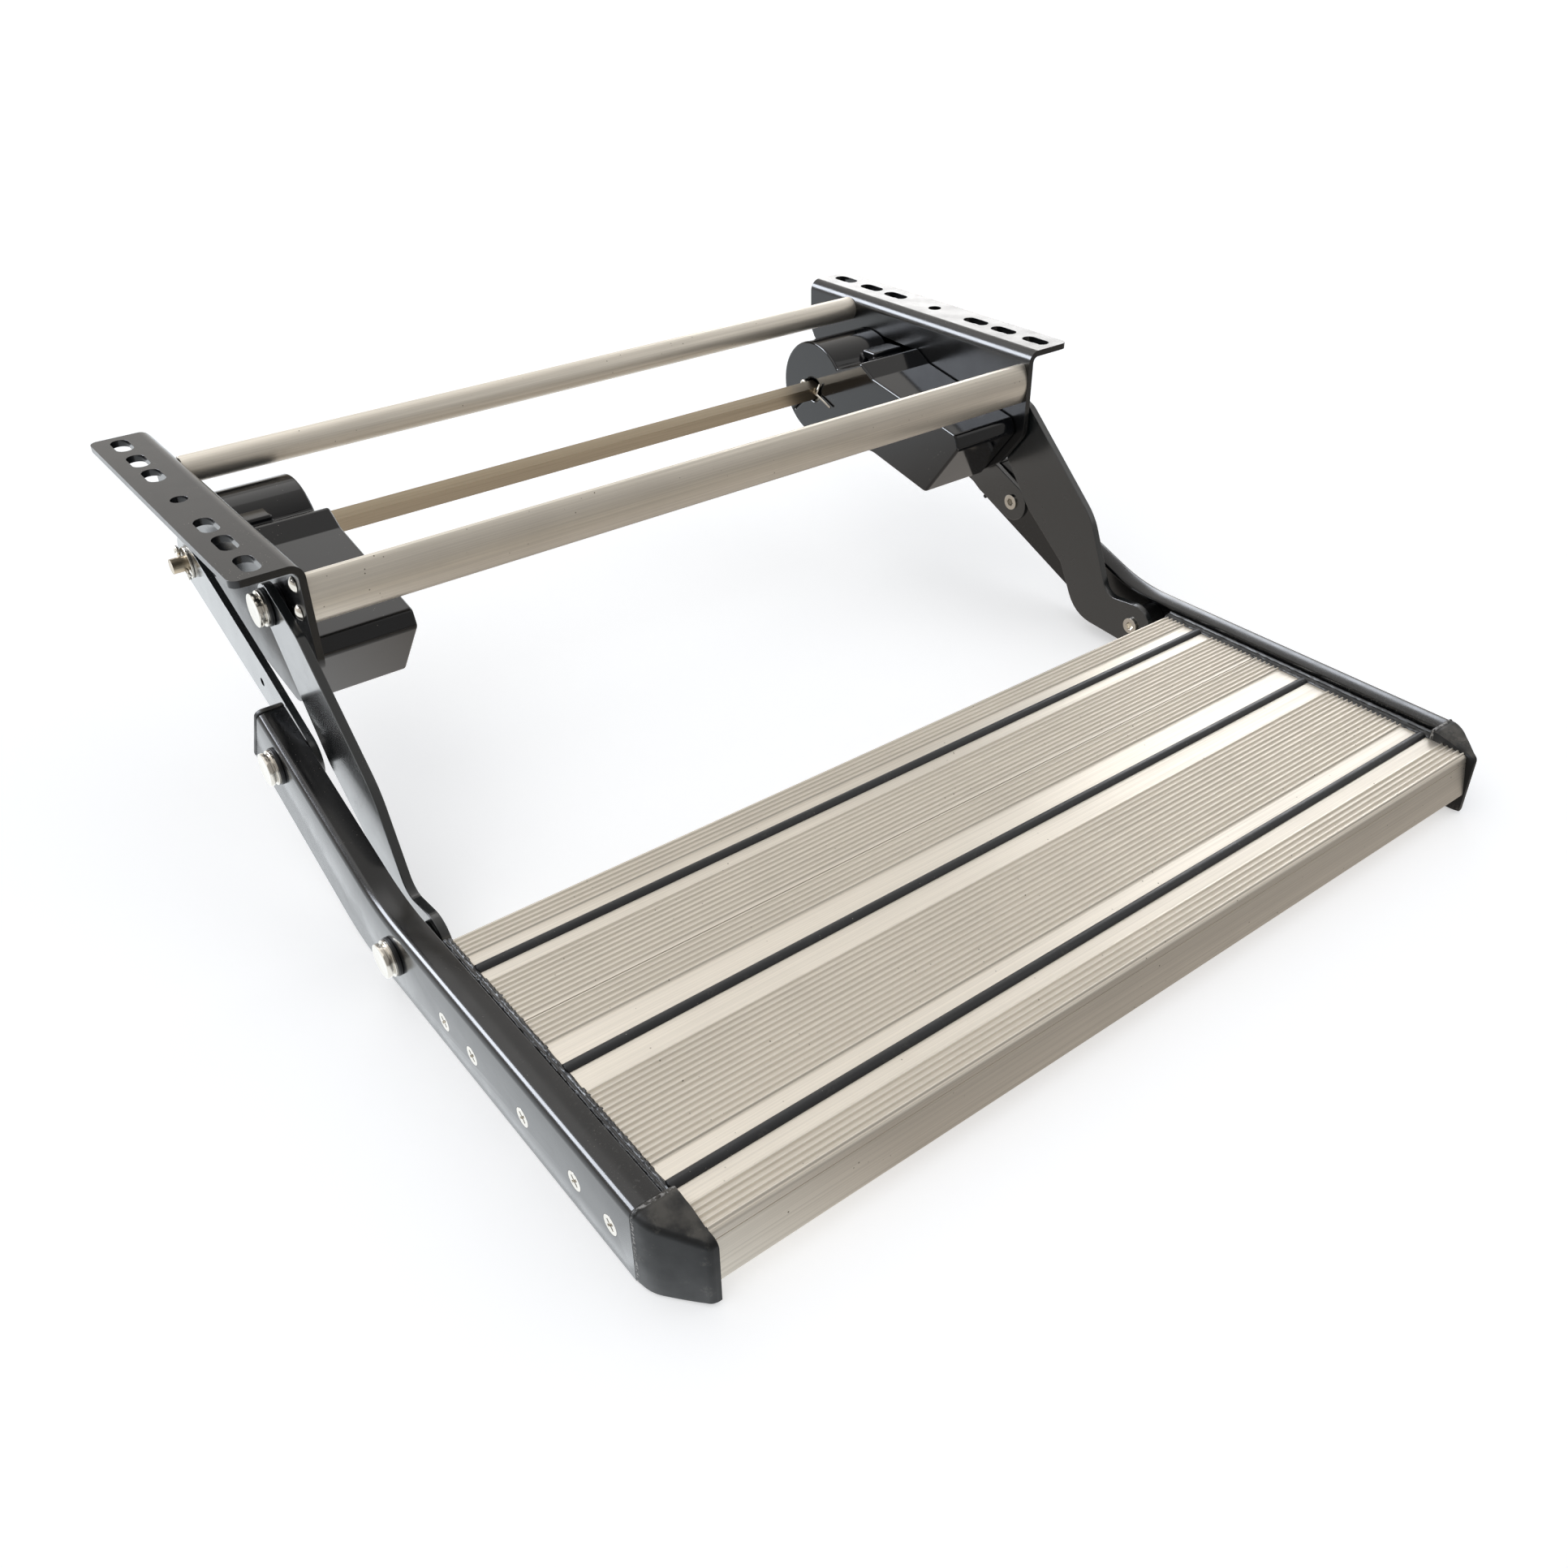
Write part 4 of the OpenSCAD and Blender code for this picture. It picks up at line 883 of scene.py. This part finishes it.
def cap_section(y, outer, corner, side):
    """A corner cap's section at one Y: ragged inner edge, top, rounded upper edge and foot."""
    inner = PAST_RIBS - 0.25 - 0.2 * ripple(y, 3, 6, side)
    soft = min(corner, 0.45 * (outer - inner))
    low = RAIL_BOTTOM + 0.2 + 1.2 * max(0.0, (RAIL_FRONT - 14 - y) / 15) ** 2
    first, width = inner + 0.3, outer - soft - inner - 0.3
    row = [(inner, low), (inner, cap_height(inner, y, side) - 1.6),
           (first, cap_height(first, y, side) - 0.5)]
    row += [(x, cap_height(x, y, side)) for x in (first + width * k / 7 for k in range(1, 8))]
    edge = cap_height(outer - soft, y, side)
    row += [(x, edge - drop) for x, drop in bend(outer, 0, soft, 7)[1:]]
    row += [(outer, low + 1.0), (outer - 0.3, low + 0.3), (outer - 1.0, low)]
    return [(x, y, z) for x, z in row]


class STEP_OT_corner_caps(bpy.types.Operator):
    """Corner caps with a soft upper edge, a rough seam at the rail and a ragged inner edge."""

    bl_idname = "step.corner_caps"
    bl_label = "Front corner caps"

    def execute(self, context):
        corner = context.scene.step_sizes.cap_corner / MM
        curve = outer_curve()
        for name, side in SIDES.items():
            rows = [cap_section(y, along_curve(curve, y), corner, side)
                    for y in cap_stations(curve)]
            cap = mesh_object(f"moulded_{name}_corner_cap", [loft(rows, side)])
            stand_in(cap, [f"{name}_front_corner_cap"], "tread", "cap", sharp=40)
        return {"FINISHED"}


# Boards, strips and trims

# One rib across, as (Y from its middle, height above the deck)
RIB_SHAPE = [(-1.5, -0.1), (-1.5, 0.0), (-1.15, 0.05), (-0.9, 0.17), (-0.7, 0.4), (-0.57, 0.75),
             (-0.43, 1.02), (-0.2, 1.17), (0.0, 1.2), (0.2, 1.17), (0.43, 1.02), (0.57, 0.75),
             (0.7, 0.4), (0.9, 0.17), (1.15, 0.05), (1.5, 0.0), (1.5, -0.1)]
SLOT_GAP = 0.1
# The groove below the front edge: its depth under the deck, and (distance down, depth) points
GROOVE_DOWN = 4.2
GROOVE = ((0, 0), (0.1, 0.4), (0.45, 0.4), (0.55, 0))


def ribs_between(start, step, limit):
    """Setbacks of ribs from start on, up to a limit."""
    count = int((limit - start) / step + 1e-6) + 1
    return [start + step * i for i in range(max(count, 0))]


def ribs_beside(strip, back_limit, front_limit):
    """Setbacks of the ribs behind and in front of a grip strip, up to two limits."""
    setback, (behind, before) = STRIP_SETBACKS[strip], FLATS[strip]
    return (ribs_between(setback - behind, -RIB_PITCH, back_limit)
            + ribs_between(setback + before, RIB_PITCH, front_limit))


# Setbacks between which the boards carry ribs
REAR_LIMIT = TREAD_REAR - JOINT_REAR - RIB_MARGIN
FRONT_START = TREAD_REAR - JOINT_FRONT + RIB_MARGIN
FRONT_LIMIT = TREAD_REAR - TREAD_FRONT - RIB_MARGIN
REAR_RIBS = ribs_beside(0, RIB_MARGIN, REAR_LIMIT)
FRONT_RIBS = (ribs_beside(1, FRONT_START, STRIP_SETBACKS[2] - FLATS[2][0])
              + ribs_between(STRIP_SETBACKS[2] + FLATS[2][1], RIB_PITCH, FRONT_LIMIT))
RIB_PLACES = [TREAD_REAR - setback for setback in REAR_RIBS + FRONT_RIBS]


def slot_corners(setback):
    """Corners of the undercut slot that holds a grip strip, from its rear to its front."""
    middle = TREAD_REAR - setback
    neck, foot = STRIP_NECK / 2 + SLOT_GAP, STRIP_WIDTH / 2 + SLOT_GAP
    steps = [(neck, 0), (neck, NECK_DEPTH), (foot, NECK_DEPTH), (foot, FOOT_DEPTH + SLOT_GAP)]
    rear = [(middle + half, DECK - depth, 0) for half, depth in steps]
    front = [(middle - half, DECK - depth, 0) for half, depth in reversed(steps)]
    return rear + front


def face_groove():
    """Corners of the fine groove in the front board's leaning face."""
    lean = NOSE_LEAN / (DECK - BOARD_BOTTOM)
    return [(TREAD_FRONT - lean * (GROOVE_DOWN + d) + inward, DECK - GROOVE_DOWN - d, 0)
            for d, inward in GROOVE]


def ribbed_board(name, corners, ribs, cuts):
    """A board from its section's corners, with its cuts made and its ribs added on top."""
    board = mesh_object(name, [prism(rounded(corners), -BOARD_END, BOARD_END)])
    if cuts:
        cut(board, cuts)
    rows = [prism([(TREAD_REAR - d + y, DECK + z) for y, z in RIB_SHAPE], -RIB_END, RIB_END)
            for d in ribs]
    ribbing = mesh_object("ribbing", rows)
    solid = bmesh.new()
    solid.from_mesh(board.data)
    solid.from_mesh(ribbing.data)
    solid.to_mesh(board.data)
    solid.free()
    bpy.data.objects.remove(ribbing)
    return board


class STEP_OT_boards(bpy.types.Operator):
    """The two boards with rounded ribs, undercut slots and the groove in the front face."""

    bl_idname = "step.boards"
    bl_label = "Tread boards"

    def execute(self, context):
        rear = [(JOINT_REAR, BOARD_BOTTOM, 1), (TREAD_REAR, BOARD_BOTTOM, 1.5),
                (TREAD_REAR, DECK, 1), *slot_corners(STRIP_SETBACKS[0]), (JOINT_REAR, DECK, 0.4)]
        front = [(TREAD_FRONT - NOSE_LEAN, BOARD_BOTTOM, 2), (JOINT_FRONT, BOARD_BOTTOM, 1),
                 (JOINT_FRONT, DECK, 0.4), *slot_corners(STRIP_SETBACKS[1]),
                 *slot_corners(STRIP_SETBACKS[2]), (TREAD_FRONT, DECK, 2), *face_groove()]
        # Room for the corner caps at both ends of the front board, by boxes that reach past it
        below, above, before, outside = -180, -140, -490, 300
        notch = [(RAIL_FRONT, below), (RAIL_FRONT, above), (before, above), (before, below)]
        notches = [prism(notch, side * RIB_END, side * outside) for side in (-1, 1)]
        boards = {"rear": (rear, REAR_RIBS, []), "front": (front, FRONT_RIBS, notches)}
        for name, (corners, ribs, cuts) in boards.items():
            board = ribbed_board(f"ribbed_{name}_board", corners, ribs, cuts)
            stand_in(board, [f"{name}_tread_board"], "tread", "anodised",
                     sharp=50)
        return {"FINISHED"}


class STEP_OT_grip_strips(bpy.types.Operator):
    """Rubber for the three half-round grip strips."""

    bl_idname = "step.grip_strips"
    bl_label = "Grip strips"

    def execute(self, context):
        for row in ("rear", "middle", "front"):
            dress(f"{row}_grip_strip", "rubber")
        return {"FINISHED"}


# Reach of the trim over the ribs' ends and its unevenness, and the same of its teeth
TRIM_REACH, TRIM_WANDER = 0.30, 0.22
TOOTH_REACH, TOOTH_WANDER = 0.45, 0.45
# A tooth starts this far from the middle of a rib, and is full after this much more
TOOTH_START, TOOTH_RISE = 0.45, 0.9
TRIM_STEP = 0.55
# Section of the trim, as (X from the ribs' ends, height above the deck); the last ones are smooth
TRIM_RIDGES = ((0.7, 1.15), (1.3, 1.35), (1.9, 1.0), (2.5, 1.5), (3.2, 1.8), (3.9, 1.6),
               (4.3, 1.2), (4.7, 1.7), (5.1, 2.2), (5.5, 2.45), (5.9, 2.35))
ROUGH_RIDGES = 7


def trim_edge(y, side):
    """X of the trim's ragged inner edge: short at the ribs' ends, with teeth in the valleys."""
    near = min(abs(y - rib) for rib in RIB_PLACES)
    reach = TRIM_REACH + TRIM_WANDER * ripple(y, 0, 9, side)
    if near < RIB_PITCH:
        valley = round((y - RIB_PLACES[0]) / RIB_PITCH - 0.5)
        tooth = max(0.0, min(1.0, (near - TOOTH_START) / TOOTH_RISE))
        reach += tooth * (TOOTH_REACH + TOOTH_WANDER * ripple(valley * 3.7, 0, 1, side))
    return PAST_RIBS - max(reach, 0.05)


def trim_section(y, side):
    """The trim's section at one Y: a thin ragged lip, two rough ridges and a smooth bead."""
    edge = trim_edge(y, side)
    lip = 0.75 + 0.2 * ripple(y, 0, 2.2, side + 5)
    row = [(edge, 0.03), (edge + 0.1, 0.6 * lip), (edge + 0.4, 0.9 * lip)]
    for k, (across, height) in enumerate(TRIM_RIDGES):
        rough = 0.16 if k < ROUGH_RIDGES else 0.05
        height += rough * ripple(y, 9 * k, 3.1, side)
        row.append((max(RIB_END + across, row[-1][0] + 0.05), height))
    row += [(BOARD_END, 2.6), (BOARD_END, 0.03)]
    return [(x, y, DECK + z) for x, z in row]


class STEP_OT_end_trims(bpy.types.Operator):
    """Soft trim along the boards' ends: teeth between the ribs, two ridges and a bead."""

    bl_idname = "step.end_trims"
    bl_label = "End trims"

    def execute(self, context):
        start, end = TREAD_REAR - 0.2, RAIL_FRONT + 0.2
        count = int((start - end) / TRIM_STEP)
        places = [start + (end - start) * i / count for i in range(count + 1)]
        for name, side in SIDES.items():
            rows = [trim_section(y, side) for y in places]
            trim = mesh_object(f"soft_{name}_end_trim", [loft(rows, side)])
            stand_in(trim, [f"{name}_end_trim"], "tread", "trim", sharp=50)
        return {"FINISHED"}


# Stage

CAMERA_PLACE = Vector((-446.7, -758.7, 297.2)) * MM
CAMERA_AZIMUTH = math.radians(-37.23)
CAMERA_ELEVATION = math.radians(34.62)
CAMERA_ROLL = math.radians(-0.873)
CAMERA_LENS = 32.16
# Name, place, width, height and power of each lamp, and the point it faces. The strips only
# draw the line of light along the bends, so they light nothing else.
LAMPS = (
    ("key", (-1.5, -0.5, 2.5), 2.4, 2.4, 18, (0, -0.2, -0.1)),
    ("fill", (1.6, -1.6, 1.5), 1.8, 1.8, 5, (0, -0.2, -0.1)),
    ("sky", (-0.2, 1.6, 2.6), 2.4, 1.6, 7, (0, -0.1, -0.1)),
    ("side_window", (1.95, 1.55, 0.60), 1.4, 0.5, 9, (0.25, -0.1, -0.05)),
    ("left_strip", (-1.9, 2.5, 1.75), 2.8, 1.5, 250, (-0.28, 2.5, -0.14)),
    ("right_strip", (1.94, 0.69, 0.87), 0.9, 0.35, 6, (0.3, 0.69, -0.15)),
)
STRIP_LIGHT = (0.86, 0.91, 1.0)
FLOOR_HALF, FLOOR_GAP = 9.0, 0.001
FLOOR_PAINT, WHITE = (0.75, 0.75, 0.75, 1), (1, 1, 1, 1)
WARM_FLOOR, COOL_FLOOR = (1, 0.93, 0.86, 1), (0.93, 0.97, 1, 1)
WARM_SKY, COOL_SKY = (1, 0.97, 0.93, 1), (0.92, 0.95, 1.0, 1)
# Soft edges on the floor, in metres: of its own glow from the middle outward, and of the bright
# left, the bright back and the dim front that reflections show
GLOW_EDGE, LEFT_EDGE = (0.9, 3.0), (-0.28, -0.15)
BACK_EDGE, FRONT_EDGE = (0.05, 0.25), (-0.54, -0.46)


class STEP_OT_stage(bpy.types.Operator):
    """The floor, the lamps, the sky and the camera."""

    bl_idname = "step.stage"
    bl_label = "Stage"

    def execute(self, context):
        scene = context.scene
        scene.view_settings.view_transform = "Standard"
        set_camera(scene)
        set_floor(scene)
        set_lamps(scene)
        set_world(scene)
        return {"FINISHED"}


def set_camera(scene):
    """The camera at the photo's viewpoint."""
    back = Vector((
        math.sin(CAMERA_AZIMUTH) * math.cos(CAMERA_ELEVATION),
        -math.cos(CAMERA_AZIMUTH) * math.cos(CAMERA_ELEVATION),
        math.sin(CAMERA_ELEVATION),
    ))
    camera = bpy.data.objects.new("camera", bpy.data.cameras.new("camera"))
    camera.data.lens = CAMERA_LENS
    camera.data.clip_start = 0.01
    camera.location = CAMERA_PLACE
    camera.rotation_mode = "QUATERNION"
    roll = Matrix.Rotation(CAMERA_ROLL, 3, "Z").to_quaternion()
    camera.rotation_quaternion = (-back).to_track_quat("-Z", "Y") @ roll
    scene.collection.objects.link(camera)
    scene.camera = camera


def set_floor(scene):
    """A wide floor just under the step."""
    mesh = bpy.data.meshes.new("floor")
    half, level = FLOOR_HALF, cad_low.z - FLOOR_GAP
    corners = [(x * half, y * half, level) for x, y in ((-1, -1), (1, -1), (1, 1), (-1, 1))]
    mesh.from_pydata(corners, [], [(0, 1, 2, 3)])
    floor = bpy.data.objects.new("floor", mesh)
    scene.collection.objects.link(floor)
    floor.data.materials.append(floor_finish())


def set_lamps(scene):
    """Soft lamps, and two strips that only show in reflections."""
    for name, at, width, height, power, aim in LAMPS:
        light = bpy.data.objects.new(name, bpy.data.lights.new(name, "AREA"))
        light.data.shape = "RECTANGLE"
        light.data.size = width
        light.data.size_y = height
        light.data.energy = power
        if name.endswith("strip"):
            light.visible_diffuse = False
            light.data.color = STRIP_LIGHT
        light.location = at
        light.rotation_mode = "QUATERNION"
        light.rotation_quaternion = (Vector(aim) - Vector(at)).to_track_quat("-Z", "Y")
        scene.collection.objects.link(light)


def by_ray(tree, lighting, seen, mirrored):
    """One shader for light, one for the camera, and one for reflections and refractions."""
    path = add(tree, "LightPath").outputs
    kinds = {0: path["Is Glossy Ray"], 1: path["Is Transmission Ray"]}
    bent = add(tree, "Math", kinds, 0, operation="MAXIMUM")
    direct = {0: path["Is Camera Ray"], 1: lighting, 2: seen}
    direct = add(tree, "MixShader", direct, "Shader")
    return add(tree, "MixShader", {0: bent, 1: direct, 2: mirrored}, "Shader")


def floor_finish():
    """Pale painted floor: white where it is lit, and grey in the object's shadow.

    In reflections it is bright and cool to the left and behind, and dim and warm elsewhere.
    """
    material, tree, place = new_material("pale_painted_floor")
    away = add(tree, "VectorMath", {0: place}, "Value", operation="LENGTH")
    glow = add(tree, "MapRange", spread(away, GLOW_EDGE, (0.5, 1.1)), "Result")
    apart = add(tree, "SeparateXYZ", {0: place}).outputs
    left = add(tree, "MapRange", spread(apart["X"], LEFT_EDGE, (1.0, 0.0)), "Result")
    behind = add(tree, "MapRange", spread(apart["Y"], BACK_EDGE, (0.0, 1.0)), "Result")
    bright = add(tree, "Math", {0: left, 1: behind}, 0, operation="MAXIMUM")
    front = add(tree, "MapRange", spread(apart["Y"], FRONT_EDGE, (0.5, 1.0)), "Result")
    strength = add(tree, "MapRange", spread(bright, (0.0, 1.0), (0.62, 1.5)), "Result")
    strength = add(tree, "Math", {0: strength, 1: front}, 0, operation="MULTIPLY")
    colour = layered(tree, WARM_FLOOR, (COOL_FLOOR, bright))
    paint = add(tree, "BsdfDiffuse", {"Color": FLOOR_PAINT}, "BSDF")
    seen = add(tree, "Emission", {"Color": WHITE, "Strength": glow}, "Emission")
    seen = add(tree, "AddShader", {0: paint, 1: seen}, "Shader")
    mirrored = add(tree, "Emission", {"Color": colour, "Strength": strength}, "Emission")
    add(tree, "OutputMaterial", {"Surface": by_ray(tree, paint, seen, mirrored)})
    return material


def set_world(scene):
    """A plain sky that lights softly, looks white, and is shaded in front in reflections."""
    world = bpy.data.worlds.new("pale_sky")
    scene.world = world
    world.use_nodes = True
    tree = world.node_tree
    tree.nodes.clear()
    towards = add(tree, "TexCoord", give="Generated")
    back = add(tree, "SeparateXYZ", {0: towards}, "Y")
    shade = add(tree, "MapRange", spread(back, (-0.5, 0.6), (0.45, 1.0)), "Result")
    soft = add(tree, "Background", {"Color": COOL_SKY, "Strength": 0.5}, "Background")
    mirrored = add(tree, "Background", {"Color": WARM_SKY, "Strength": shade}, "Background")
    white = add(tree, "Background", {"Color": WHITE, "Strength": 1.0}, "Background")
    add(tree, "OutputWorld", {"Surface": by_ray(tree, soft, white, mirrored)})


class STEP_PT_panel(bpy.types.Panel):
    """Lists the step's pieces."""

    bl_label = "Pull-out step"
    bl_space_type = "VIEW_3D"
    bl_region_type = "UI"
    bl_category = "Step"

    def draw(self, context):
        for operator in OPERATORS:
            self.layout.operator(operator.bl_idname)


OPERATORS = (
    STEP_OT_stage,
    STEP_OT_brackets,
    STEP_OT_cross_members,
    STEP_OT_screws,
    STEP_OT_spring_covers,
    STEP_OT_springs,
    STEP_OT_pivot_pins,
    STEP_OT_pivot_nuts,
    STEP_OT_washers,
    STEP_OT_links,
    STEP_OT_shaft,
    STEP_OT_split_pins,
    STEP_OT_side_rails,
    STEP_OT_rear_end_caps,
    STEP_OT_corner_caps,
    STEP_OT_boards,
    STEP_OT_grip_strips,
    STEP_OT_end_trims,
)
CLASSES = (StepColours, StepSizes, *OPERATORS, STEP_PT_panel)


def register():
    for item in CLASSES:
        bpy.utils.register_class(item)
    bpy.types.Scene.step_colours = bpy.props.PointerProperty(type=StepColours)
    bpy.types.Scene.step_sizes = bpy.props.PointerProperty(type=StepSizes)


def unregister():
    del bpy.types.Scene.step_sizes
    del bpy.types.Scene.step_colours
    for item in reversed(CLASSES):
        bpy.utils.unregister_class(item)


def main():
    register()
    for operator in OPERATORS:
        getattr(bpy.ops.step, operator.bl_idname.split(".")[1])()


if __name__ == "__main__":
    main()
